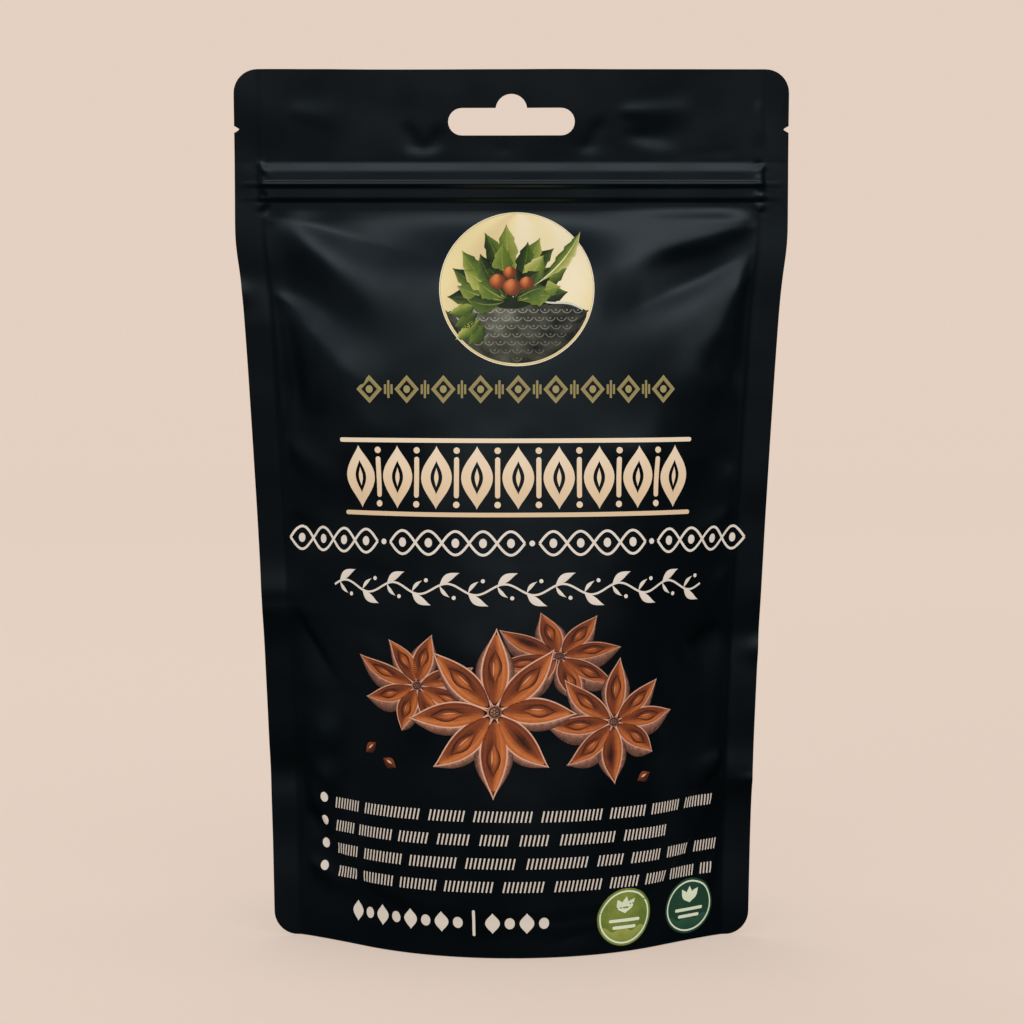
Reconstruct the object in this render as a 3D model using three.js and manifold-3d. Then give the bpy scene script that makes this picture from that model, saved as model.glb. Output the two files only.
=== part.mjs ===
// A filled stand-up pouch of laminated film, shut at the top, that stands on its opened bottom gusset.
// Front and back are one sheet each, welded together down both sides, with a press-to-close zipper under a
// flat header. The header has a hanging slot and a tear notch at each side.
//
// Millimetres. +Z is up, the front faces -Y, and the origin is at the middle of the foot.
// Each sheet keeps its flat width: as it bulges, both side welds are drawn in towards each other.
import * as THREE from "three";
import { mergeVertices } from "three/addons/utils/BufferGeometryUtils.js";
import Module from "manifold-3d";

// Driving dimensions.
const PACK_WIDTH = 140;
const PACK_HEIGHT = 220;
const SIDE_WELD = 7;
const CORNER_RADIUS = 6;
const SHEET_HALF = 0.5; // half the thickness of both sheets together

// The filled pocket.
const POCKET_TOP = 185.8; // it ends here, at the zipper's lower edge
const BELLY_ARC = 40; // a sheet is round this far to both sides of its middle, then straight to the welds
const FOOT_TURN = 0.735; // radians: how far it turns at the foot from its middle to the straight part
const FULLNESS = 1.3; // the larger, the higher up the pack stays full
const SHOULDER = 0.45; // the smaller, the squarer the pocket's upper end
const EASE = 11.5; // under the zipper the bulge sets in over about this height

// The filling pushes the middle of each sheet out: by rise at the height at, over reach up and down, fading
// over fade towards the sides from half out.
const FILL = { rise: 2.2, at: 50, reach: 52, foot: 30, half: 60, fade: 34 };

// The zipper's profile: the sheet rises by rise between two heights over the zipper's foot.
const ZIP_HEIGHT = 10.8;
const HEADER_LEAN = 0.05; // above it the header leans forwards, by this share of its height
const ZIP_STEPS = [
  { low: 0.9, high: 2, rise: 0.6 },
  { low: 4.5, high: 5.3, rise: 0.75 },
  { low: 5.75, high: 6.35, rise: -0.52 },
  { low: 8.4, high: 11.3, rise: -0.68 },
];

// What is cut out of the header: the usual hanging slot of 32 by 10.4 mm, and two tear notches.
const SLOT = { width: 32, bar: 6.9, rise: 10.4, hump: 4, foot: 203.5 };
const NOTCH = { height: 205, bite: 1.3, half: 1.4 };

// The gusset under the pack.
const GUSSET_RISE = 39; // its fold meets the side welds at this height
const SKIRT_RISE = 7; // its weld at the middle of the front and back lies this high
const BELLY_RISE = 6; // the filling presses its middle down to here
const SKIRT_WALL = 1;
const WELD_ARCH = 3.4; // powers that set how late the weld and the fold rise towards the sides
const FOLD_ARCH = 2.2;
const SADDLE_ARCH = 1.6; // and the one that sets how late the gusset rises from its fold to its welds

const POCKET_HALF = PACK_WIDTH / 2 - SIDE_WELD;
const FRONT = -1;
const BACK = 1;

// Folds where the sheet buckles beside a weld. Each runs from one point to another, given as [u, z]: u is
// the distance from the sheet's middle line along its width. Positive rise stands out of the pack, and
// above and below are how far it spreads to both sides.
const FRONT_FOLDS = [
  { from: [-61, 185], to: [-29, 152], rise: 2.4, above: 7.5, below: 5 },
  { from: [-63, 172.5], to: [-37, 151.5], rise: -1.9, above: 4.5, below: 3.2 },
  { from: [-62.5, 165], to: [-34, 138.5], rise: 2, above: 4, below: 6 },
  { from: [63.5, 182.5], to: [14, 166.2], rise: 2.1, above: 6.5, below: 3.5 },
  { from: [64.5, 178.8], to: [26, 161], rise: -1.9, above: 3, below: 5 },
  { from: [62.8, 176], to: [43, 138], rise: 3, above: 9.5, below: 3 },
  { from: [61, 80.5], to: [47, 73], rise: -1.5, above: 2.5, below: 6 },
  { from: [-62.5, 84], to: [-40, 60], rise: -1.3, above: 2.5, below: 4 },
  { from: [-62, 46], to: [-40, 52], rise: 0.9, above: 5, below: 4 },
  { from: [62, 43], to: [44, 37], rise: -1.2, above: 4, below: 4 },
];
const BACK_FOLDS = [
  { from: [-61, 182], to: [-26, 158], rise: -2.2, above: 5, below: 5 },
  { from: [-62, 172], to: [-42, 140], rise: 1.8, above: 5, below: 6 },
  { from: [61, 183], to: [32, 152], rise: -2, above: 5, below: 4 },
  { from: [62, 170], to: [40, 146], rise: 1.5, above: 5, below: 6 },
  { from: [62, 84], to: [40, 68], rise: -1.5, above: 4, below: 4 },
  { from: [-62, 62], to: [-40, 70], rise: -1.6, above: 3.5, below: 4 },
];

// Kinks in the side welds, which carry both sheets with them: side is -1 on the left, +1 on the right. The
// lowest two are the bottom corners, which both lean forwards.
const WELD_KINKS = [
  { side: -1, z: 166, shift: 0.8, reach: 6 },
  { side: -1, z: 86, shift: -1.2, reach: 7 },
  { side: -1, z: 42, shift: 1, reach: 6 },
  { side: -1, z: 0, shift: -3, reach: 22 },
  { side: 1, z: 172, shift: -0.8, reach: 7 },
  { side: 1, z: 76, shift: 1.2, reach: 7 },
  { side: 1, z: 41, shift: -1, reach: 6 },
  { side: 1, z: 0, shift: -3, reach: 22 },
];
const KINK_SPREAD = 16;

// The shares of a fold's length over which it rises beside the weld and dies out in the sheet.
const FOLD_ENDS = { start: 0.25, tail: 0.7 };

// Over these widths the relief fades out towards the edges of the pocket and of the zipper.
const FOLD_FADE = { weld: 5, zipper: 4 };
const ZIP_FADE = { past: 1, width: 3 };

const smooth = (t) => THREE.MathUtils.smoothstep(t, 0, 1);
const gauss = (t) => Math.exp(-t * t);

// How far a sheet turns at a height, in radians, from its middle to its straight part: full at the foot and
// none at the zipper.
function turnAt(z) {
  const share = Math.min(z / POCKET_TOP, 1);
  const easing = 1 - gauss(Math.max(POCKET_TOP - z, 0) / EASE);
  return FOOT_TURN * easing * (1 - share ** FULLNESS) ** SHOULDER;
}

// The half section of a sheet at a height, from its middle line out to the place at a distance along it: an
// arc, a straight flank and the flat weld.
function halfSection(distance, z) {
  const turn = Math.max(turnAt(z), 1e-3);
  const radius = BELLY_ARC / turn;
  const facing = Math.min(distance, BELLY_ARC) / radius;
  const flank = THREE.MathUtils.clamp(distance - BELLY_ARC, 0, POCKET_HALF - BELLY_ARC);
  const weld = Math.max(distance - POCKET_HALF, 0);
  return {
    x: radius * Math.sin(facing) + flank * Math.cos(turn) + weld,
    drop: radius * (1 - Math.cos(facing)) + flank * Math.sin(turn),
    facing: weld ? 0 : facing,
  };
}

// The point of the plain bulged sheet at u, z, with the direction in which it faces.
function bulge(u, z) {
  const { x, drop, facing } = halfSection(Math.abs(u), z);
  const depth = halfSection(POCKET_HALF, z).drop - drop;
  return { x: Math.sign(u) * x, depth, facing: Math.sign(u) * facing };
}

// How far a fold lifts the sheet at u, z.
function foldLift(fold, u, z) {
  const start = new THREE.Vector2(...fold.from);
  const run = new THREE.Vector2(...fold.to).sub(start);
  const length = run.length();
  run.normalize();
  const point = new THREE.Vector2(u, z).sub(start);
  const along = point.dot(run) / length;
  if (along < 0 || along > 1) return 0;
  const upwards = run.x > 0 ? 1 : -1;
  const across = (point.y * run.x - point.x * run.y) * upwards;
  const spread = (across > 0 ? fold.above : fold.below) * (0.5 + along);
  const rise = fold.rise * smooth(along / FOLD_ENDS.start) * smooth((1 - along) / FOLD_ENDS.tail);
  return rise * gauss(across / spread);
}

// What the zipper presses into a sheet. It fades out at the side welds.
function zipLift(u, z) {
  const up = z - POCKET_TOP;
  const fade = smooth((POCKET_HALF + ZIP_FADE.past - Math.abs(u)) / ZIP_FADE.width);
  const profile = ZIP_STEPS.reduce(
    (sum, step) => sum + step.rise * smooth((up - step.low) / (step.high - step.low)),
    0,
  );
  return profile * fade;
}

// How far the filling pushes the sheet out at u, z.
function fillLift(u, z) {
  const height = gauss((z - FILL.at) / FILL.reach) * smooth(z / FILL.foot);
  return FILL.rise * height * smooth((FILL.half - Math.abs(u)) / FILL.fade);
}

function lift(side, u, z) {
  const folds = side === FRONT ? FRONT_FOLDS : BACK_FOLDS;
  const inside =
    smooth((POCKET_HALF - Math.abs(u)) / FOLD_FADE.weld) * smooth((POCKET_TOP - z) / FOLD_FADE.zipper);
  const folded = folds.reduce((sum, fold) => sum + foldLift(fold, u, z), 0);
  return zipLift(u, z) + fillLift(u, z) + inside * folded;
}

// How far both sheets lean back together at u, z.
function sway(u, z) {
  const lean = HEADER_LEAN * Math.max(z - POCKET_TOP - ZIP_HEIGHT, 0);
  return kinkShift(u, z) - lean;
}

function kinkShift(u, z) {
  return WELD_KINKS.filter((kink) => kink.side * u > 0).reduce((sum, kink) => {
    const inwards = Math.max(POCKET_HALF - Math.abs(u), 0);
    return sum + kink.shift * gauss((z - kink.z) / kink.reach) * Math.exp(-inwards / KINK_SPREAD);
  }, 0);
}

// A point of the pack's outside.
function sheetPoint(side, u, z) {
  const { x, depth, facing } = bulge(u, z);
  const rise = lift(side, u, z);
  return new THREE.Vector3(
    x + rise * Math.sin(facing),
    side * (SHEET_HALF + depth + rise * Math.cos(facing)) + sway(u, z),
    z,
  );
}

// The row heights: close together round the corners and over the zipper, wide apart between them.
function rowHeights() {
  const corner = [0, 0.1, 0.3, 0.6, 1].map((share) => share * CORNER_RADIUS);
  const pocket = evenly(CORNER_RADIUS, POCKET_TOP, 34);
  const zipper = evenly(POCKET_TOP, POCKET_TOP + ZIP_HEIGHT + 0.5, 19);
  const header = [NOTCH.height, ...corner.map((z) => PACK_HEIGHT - z).reverse()];
  return [...corner, ...pocket, ...zipper, ...header];
}

// Equal steps from just past one value up to another.
function evenly(from, to, count) {
  return Array.from({ length: count }, (_, i) => from + ((to - from) * (i + 1)) / count);
}

// The column places across the flat width: one on each inner edge of a weld, and one on each outer edge.
function columnPlaces() {
  return [-PACK_WIDTH / 2, -POCKET_HALF, ...evenly(-POCKET_HALF, POCKET_HALF, 26), PACK_WIDTH / 2];
}

// Half of the flat width that is left at a height, where the corners are rounded.
function halfWidthAt(z) {
  const into = CORNER_RADIUS - Math.min(z, PACK_HEIGHT - z, CORNER_RADIUS);
  return PACK_WIDTH / 2 - CORNER_RADIUS + Math.sqrt(CORNER_RADIUS ** 2 - into ** 2);
}

// A thin box with one face for each sheet, bent into the pack's outside.
function pouchOutside() {
  const rows = rowHeights();
  const columns = columnPlaces();
  const across = columns.length - 1;
  const up = rows.length - 1;
  const box = new THREE.BoxGeometry(across, 2, up, across, 1, up);
  const place = box.getAttribute("position");
  for (let i = 0; i < place.count; i++) {
    const z = rows[Math.round(place.getZ(i) + up / 2)];
    const column = columns[Math.round(place.getX(i) + across / 2)];
    const u = THREE.MathUtils.clamp(column, -halfWidthAt(z), halfWidthAt(z));
    const point = sheetPoint(place.getY(i) < 0 ? FRONT : BACK, u, z);
    place.setXYZ(i, point.x, point.y, point.z);
  }
  return box;
}

// The hollow under the pack: a saddle between the front and back skirts that rises to both side welds.
function gussetHollow() {
  const below = -2; // the cut starts clear of the foot
  const reach = POCKET_HALF - 1.5; // and ends before the two skirts meet
  const steps = { across: 28, through: 12, up: 6 };
  const box = new THREE.BoxGeometry(2 * reach, 2, 1, steps.across, steps.through, steps.up);
  box.translate(0, 0, 0.5);
  const place = box.getAttribute("position");
  for (let i = 0; i < place.count; i++) {
    const u = place.getX(i);
    const across = place.getY(i);
    const outwards = Math.abs(u) / POCKET_HALF;
    const weldRise = SKIRT_RISE + (GUSSET_RISE - SKIRT_RISE) * outwards ** WELD_ARCH;
    const foldRise = BELLY_RISE + (GUSSET_RISE - BELLY_RISE) * outwards ** FOLD_ARCH;
    const top = foldRise + (weldRise - foldRise) * Math.abs(across) ** SADDLE_ARCH;
    const z = below + (top - below) * place.getZ(i);
    const { x, depth } = bulge(u, Math.max(z, 0));
    const y = across * (depth + SHEET_HALF - SKIRT_WALL) + sway(u, z);
    place.setXYZ(i, x, y, z);
  }
  return box;
}

// A bar with round ends and a round hump in the middle of its upper side, cut through the header.
function hangingSlot() {
  const end = SLOT.bar / 2;
  const straight = SLOT.width / 2 - end;
  const humpCentre = SLOT.rise - SLOT.hump;
  const shoulder = Math.sqrt(SLOT.hump ** 2 - (SLOT.bar - humpCentre) ** 2);
  const lean = Math.atan2(SLOT.bar - humpCentre, shoulder);
  const outline = new THREE.Shape();
  outline.moveTo(-straight, 0);
  outline.lineTo(straight, 0);
  outline.absarc(straight, end, end, -Math.PI / 2, Math.PI / 2, false);
  outline.lineTo(shoulder, SLOT.bar);
  outline.absarc(0, humpCentre, SLOT.hump, lean, Math.PI - lean, false);
  outline.lineTo(-straight, SLOT.bar);
  outline.absarc(-straight, end, end, Math.PI / 2, (Math.PI * 3) / 2, false);
  return throughCut(outline, 0, SLOT.foot);
}

// A small rounded bite at one end of the tear line.
function tearNotch(side) {
  const outline = new THREE.Shape();
  const shoulder = { x: -side * NOTCH.bite * 0.3, z: NOTCH.half * 0.6 };
  outline.moveTo(side, -NOTCH.half);
  outline.quadraticCurveTo(shoulder.x, -shoulder.z, -side * NOTCH.bite, 0);
  outline.quadraticCurveTo(shoulder.x, shoulder.z, side, NOTCH.half);
  outline.closePath();
  return throughCut(outline, (side * PACK_WIDTH) / 2, NOTCH.height);
}

// Extrudes an outline drawn in X and Z along Y, past both faces of the header.
function throughCut(outline, x, z) {
  const depth = 12;
  const cut = new THREE.ExtrudeGeometry(outline, { depth, bevelEnabled: false, curveSegments: 10 });
  return cut.rotateX(Math.PI / 2).translate(x, depth / 2, z);
}

const wasm = await Module();
wasm.setup();

function toSolid(geometry) {
  const bare = geometry.clone();
  bare.deleteAttribute("normal");
  bare.deleteAttribute("uv");
  const merged = mergeVertices(bare, 1e-4);
  return new wasm.Manifold(
    new wasm.Mesh({
      numProp: 3,
      vertProperties: merged.getAttribute("position").array,
      triVerts: new Uint32Array(merged.index.array),
    }),
  );
}

function toGeometry(solid) {
  const { vertProperties, triVerts } = solid.getMesh();
  const geometry = new THREE.BufferGeometry();
  geometry.setAttribute("position", new THREE.BufferAttribute(vertProperties, 3));
  geometry.setIndex(new THREE.BufferAttribute(triVerts, 1));
  geometry.computeVertexNormals();
  return geometry;
}

const cuts = [gussetHollow(), hangingSlot(), tearNotch(-1), tearNotch(1)];
const pouchSolid = cuts.reduce(
  (solid, cut) => solid.subtract(toSolid(cut)),
  toSolid(pouchOutside()),
);

const film = new THREE.MeshStandardMaterial({ color: 0x15181a, roughness: 0.5, metalness: 0 });
const pouch = new THREE.Mesh(toGeometry(pouchSolid), film);
pouch.name = "pouch";

const pack = new THREE.Group();
pack.add(pouch);
export default pack;
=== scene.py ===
"""Dresses a filled stand-up pouch of black film: the pouch itself, the print on its front and a plain studio.

Lengths are in millimetres, as in the part's source, and become metres as a mesh is written. A place on either
sheet of the pack is given by u, the distance from its middle line along its flat width, and z, the height.
"""

import enum
import logging
import math
from collections.abc import Callable, Iterable, Sequence
from dataclasses import dataclass, field

import bmesh
import bpy
import numpy as np
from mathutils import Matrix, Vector


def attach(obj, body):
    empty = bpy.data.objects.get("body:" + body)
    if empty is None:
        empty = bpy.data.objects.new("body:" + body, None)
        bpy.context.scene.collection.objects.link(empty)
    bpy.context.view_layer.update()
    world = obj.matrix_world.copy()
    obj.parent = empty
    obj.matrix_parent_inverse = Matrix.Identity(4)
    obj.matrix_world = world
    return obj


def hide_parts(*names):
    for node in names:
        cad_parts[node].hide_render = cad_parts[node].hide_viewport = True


LOG = logging.getLogger("pouch")
MM = 0.001
BODY = "root"
SHARP_ANGLE = 50
# Lengths and angles below this count as none.
TINY = 0.001
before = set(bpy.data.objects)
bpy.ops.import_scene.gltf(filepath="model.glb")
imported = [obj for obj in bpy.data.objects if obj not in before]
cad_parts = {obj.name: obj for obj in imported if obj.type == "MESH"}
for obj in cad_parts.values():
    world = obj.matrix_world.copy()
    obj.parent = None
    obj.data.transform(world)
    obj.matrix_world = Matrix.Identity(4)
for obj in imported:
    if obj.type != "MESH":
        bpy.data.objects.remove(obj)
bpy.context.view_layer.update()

Array = np.ndarray
Point = tuple[float, float]


class Side(enum.IntEnum):
    """The sheet that a place lies on. The front faces -Y."""

    FRONT = -1
    BACK = 1


# --------------------------------------------------------------------------------------------------
# Small curves
# --------------------------------------------------------------------------------------------------


def smooth(t: Array | float) -> Array:
    """Rises from 0 to 1 as t does, level at both ends."""
    t = np.clip(t, 0.0, 1.0)
    return t * t * (3.0 - 2.0 * t)


def gauss(t: Array | float) -> Array:
    """A rounded ridge of height 1 and half width 1."""
    return np.exp(-np.square(t))


def arch(low: Array | float, high: Array | float, share: Array, power: float) -> Array:
    """A curve from one height to another, which stays low for longer the higher its power is."""
    return low + (high - low) * share**power


def waves(u: Array, z: Array, cell: float, seed: int) -> Array:
    """Smooth random waves between about -1 and 1.

    Args:
        u: Places across the sheet.
        z: Heights.
        cell: The size of one wave.
        seed: Picks the pattern.

    Returns:
        The height of the waves at each place.
    """
    size = 64
    lattice = np.random.default_rng(seed).uniform(-1.0, 1.0, (size, size))
    turn = 0.6 + seed
    across = (u * math.cos(turn) - z * math.sin(turn)) / cell
    along = (u * math.sin(turn) + z * math.cos(turn)) / cell
    col, row = np.floor(across), np.floor(along)
    s, t = smooth(across - col), smooth(along - row)
    col, row = col.astype(int) % size, row.astype(int) % size
    right, upper = (col + 1) % size, (row + 1) % size
    low = lattice[row, col] * (1 - s) + lattice[row, right] * s
    high = lattice[upper, col] * (1 - s) + lattice[upper, right] * s
    return low * (1 - t) + high * t


# --------------------------------------------------------------------------------------------------
# The shape of the pack
# --------------------------------------------------------------------------------------------------


@dataclass(frozen=True)
class Ripple:
    """Random waves in a sheet: their rise, the size of one wave, and the seed that picks the pattern.

    Where stretch_u or stretch_z is below 1, the waves are that much longer across or upwards.
    """

    rise: float
    cell: float
    seed: int
    stretch_u: float = 1.0
    stretch_z: float = 1.0

    def lift(self, u: Array, z: Array, other: int = 0) -> Array:
        """How far the waves lift the sheet at u, z. other picks another pattern of the same kind."""
        return self.rise * waves(u * self.stretch_u, z * self.stretch_z, self.cell, self.seed + other)


@dataclass(frozen=True)
class Ridge:
    """A fine ridge, or a groove where its rise is negative, at a distance from a line."""

    rise: float
    distance: float
    half: float

    def lift(self, off: Array) -> Array:
        """How far it lifts the sheet at a distance from the line."""
        return self.rise * gauss((off - self.distance) / self.half)


@dataclass(frozen=True)
class Fold:
    """A fold where the sheet buckles, from one place (u, z) to another.

    Positive rise stands out of the pack. above and below are how far it spreads to both sides, and bow is how
    far its middle bends upwards. start and tail are the shares of its length over which it rises and dies
    out. The lower crisp is, the sharper its crest, and the lower pinch is, the narrower it begins.
    """

    begin: Point
    end: Point
    rise: float
    above: float
    below: float
    bow: float = 0.0
    start: float = 0.25
    tail: float = 0.7
    crisp: float = 2.0
    pinch: float = 0.5

    def lift(self, u: Array, z: Array) -> Array:
        """How far the fold lifts the sheet at u, z.

        Args:
            u: Places across the flat front, in millimetres.
            z: Their heights.

        Returns:
            How far each place is lifted.
        """
        run_u, run_z = self.end[0] - self.begin[0], self.end[1] - self.begin[1]
        length = math.hypot(run_u, run_z)
        run_u, run_z = run_u / length, run_z / length
        off_u, off_z = u - self.begin[0], z - self.begin[1]
        along = (off_u * run_u + off_z * run_z) / length
        across = (off_z * run_u - off_u * run_z) * math.copysign(1.0, run_u)
        across = across - self.bow * 4 * along * (1 - along)
        spread = np.where(across > 0, self.above, self.below) * (self.pinch + np.clip(along, 0, 1))
        inside = (along > 0) & (along < 1)
        rise = smooth(along / self.start) * smooth((1 - along) / self.tail)
        return np.where(inside, self.rise * rise * np.exp(-(np.abs(across / spread) ** self.crisp)), 0.0)


@dataclass(frozen=True)
class Kink:
    """A bend in one side weld that carries both sheets with it, forwards where shift is negative.

    It dies out inwards from the weld, or from the pack's edge if it is a rim kink.
    """

    side: int
    z: float
    shift: float
    reach: float
    spread: float = 16.0
    rim: bool = False


@dataclass(frozen=True)
class Step:
    """A step in the zipper's profile: the sheet rises by rise between two heights over the zipper's foot."""

    low: float
    high: float
    rise: float


@dataclass(frozen=True)
class Zipper:
    """What the zipper presses into both sheets: a flange round its ribs, crushed where the side welds begin.

    A faint mark of it, a share of the whole, runs on over most of each weld.
    """

    height: float = 10.8
    steps: tuple[Step, ...] = (
        Step(0.9, 2.0, 0.6),
        Step(4.5, 5.3, 0.75),
        Step(5.75, 6.35, -0.52),
        Step(6.6, 8.6, -0.03),
        Step(8.4, 11.3, -0.65),
    )
    mark: float = 0.1
    mark_reach: float = 6.0
    mark_fade: float = 2.0
    fade: float = 1.5
    crush: Ripple = Ripple(0.3, 1.5, 5, stretch_u=0.9)
    crushed: Ridge = Ridge(1.0, 0.2, 1.5)
    crush_below: float = 3.0
    crush_above: float = 1.0

    def lift(self, u: Array, z: Array, inwards: Array, up: Array) -> Array:
        """How far it lifts a sheet.

        Args:
            u: Places across the sheet.
            z: Heights.
            inwards: How far inside the side welds they are.
            up: How far over the zipper's foot they are.

        Returns:
            The lift at each place.
        """
        profile = sum(step.rise * smooth((up - step.low) / (step.high - step.low)) for step in self.steps)
        mark = self.mark * smooth((self.mark_reach + inwards) / self.mark_fade)
        share = smooth((inwards + self.fade) / self.fade) * (1 - mark) + mark
        foot, head = up + self.crush_below, self.height + self.crush_above - up
        zone = self.crushed.lift(inwards) * smooth(foot / self.fade) * smooth(head / self.fade)
        return profile * share + self.crush.lift(u, z) * zone


@dataclass(frozen=True)
class Filling:
    """How the filling swells both sheets: most at one height, and less towards the foot and the sides."""

    rise: float = 2.2
    height: float = 50.0
    reach: float = 52.0
    foot: float = 30.0
    half: float = 60.0
    fade: float = 34.0

    def lift(self, u: Array, z: Array) -> Array:
        """How far it lifts a sheet at u, z."""
        upright = self.rise * gauss((z - self.height) / self.reach) * smooth(z / self.foot)
        return upright * smooth((self.half - np.abs(u)) / self.fade)


@dataclass(frozen=True)
class Slack:
    """Random waves in a sheet that nothing draws tight.

    They die out towards the side welds, the zipper and the foot. The uneven ones are stronger down the
    flanks, a little inside the welds, and in the pack's lower part.
    """

    side_fade: float = 9.0
    top_fade: float = 12.0
    foot_fade: float = 16.0
    even: Ripple = Ripple(0.42, 27, 0)
    uneven: tuple[Ripple, ...] = (Ripple(0.24, 12, 1), Ripple(0.07, 5, 2))
    flank: Ridge = Ridge(0.39, 12, 18)
    lower_part: float = 150.0
    lower_fade: float = 30.0
    lower_gain: float = 0.6

    def lift(self, u: Array, z: Array, inwards: Array, below: Array, sheet: int) -> Array:
        """How far the waves lift a sheet.

        Args:
            u: Places across the sheet.
            z: Heights.
            inwards: How far inside the side welds they are.
            below: How far under the zipper's foot they are.
            sheet: The sheet's own seed.

        Returns:
            The lift at each place.
        """
        flank = 1 - self.flank.rise + self.flank.lift(inwards)
        lower = 1 + self.lower_gain * smooth((self.lower_part - z) / self.lower_fade)
        uneven = sum(ripple.lift(u, z, sheet) for ripple in self.uneven)
        fade = smooth(inwards / self.side_fade) * smooth(below / self.top_fade) * smooth(z / self.foot_fade)
        return fade * (self.even.lift(u, z, sheet) + flank * lower * uneven)


@dataclass(frozen=True)
class Gusset:
    """The sheet at the foot: a skirt welded to both sheets, and a saddle between them that opens downwards.

    Across, it is followed by a share from -1 at the front's rim to 1 at the back's. The saddle lies within
    saddle_end, and the skirt between saddle_end and rim.
    """

    side_rise: float = 39.0
    skirt_rise: float = 7.0
    belly_rise: float = 6.0
    weld_arch: float = 3.4
    fold_arch: float = 2.2
    saddle_arch: float = 1.6
    rim: float = 0.95
    saddle_end: float = 0.75
    weld_inset: float = 0.6
    weld_fade: float = 3.2
    weld_spread: float = 0.1
    gap: float = 0.02
    wrinkle: Ripple = Ripple(0.5, 9, 91, stretch_z=30.0)
    wrinkle_fade: float = 0.4
    wrinkle_half: float = 58.0
    wrinkle_end: float = 12.0

    def points(self, form: "PackForm", u: Array, across: Array, wall: float) -> Array:
        """Finds points on the underside of the pack.

        Args:
            form: The pack's form.
            u: Places across the flat width.
            across: From -1 at the front rim, up the skirt and over the saddle, to 1 at the back.
            wall: The thickness of the skirt.

        Returns:
            The points, one row each.
        """
        far, aside = np.abs(across), np.abs(u)
        weld_rise = form.weld_line(u)
        outwards = np.minimum(aside / form.pocket_half, 1.0)
        fold_rise = arch(self.belly_rise, self.side_rise, outwards, self.fold_arch)
        up_skirt = np.clip((self.rim - far) / (self.rim - self.saddle_end), 0, 1) * weld_rise
        over = np.clip(far / self.saddle_end, 0, 1)
        wrinkle = self.wrinkle.lift(u, across) * smooth((1 - over) / self.wrinkle_fade)
        wrinkle = wrinkle * smooth((self.wrinkle_half - aside) / self.wrinkle_end)
        saddle = arch(fold_rise, weld_rise, over, self.saddle_arch) + wrinkle
        beside_weld = smooth((form.pocket_half - self.weld_inset - aside) / self.weld_fade)
        z = np.where(far > self.saddle_end, up_skirt, saddle) * beside_weld
        at_front = across[:, None] < 0
        edge = np.where(at_front, form.place(Side.FRONT, u, z, -wall), form.place(Side.BACK, u, z, -wall))
        centre = edge.copy()
        centre[:, 1] = form.shift(u, z)
        points = centre + (edge - centre) * over[:, None]
        # The front and the back half keep a gap between them.
        crossed = np.where(across < 0, -1, 1) * (points[:, 1] - centre[:, 1]) < self.gap
        points[crossed, 1] = (centre[:, 1] + self.gap * np.sign(across))[crossed]
        # Inside the weld only the rim reaches out to both sheets.
        level = np.zeros_like(u)
        front, back = form.place(Side.FRONT, u, level), form.place(Side.BACK, u, level)
        spread = np.where(far > self.rim, across, self.weld_spread * across)
        welded = aside > form.pocket_half - self.weld_inset
        points[welded] = (front + (back - front) * ((spread[:, None] + 1) / 2))[welded]
        return points


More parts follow.
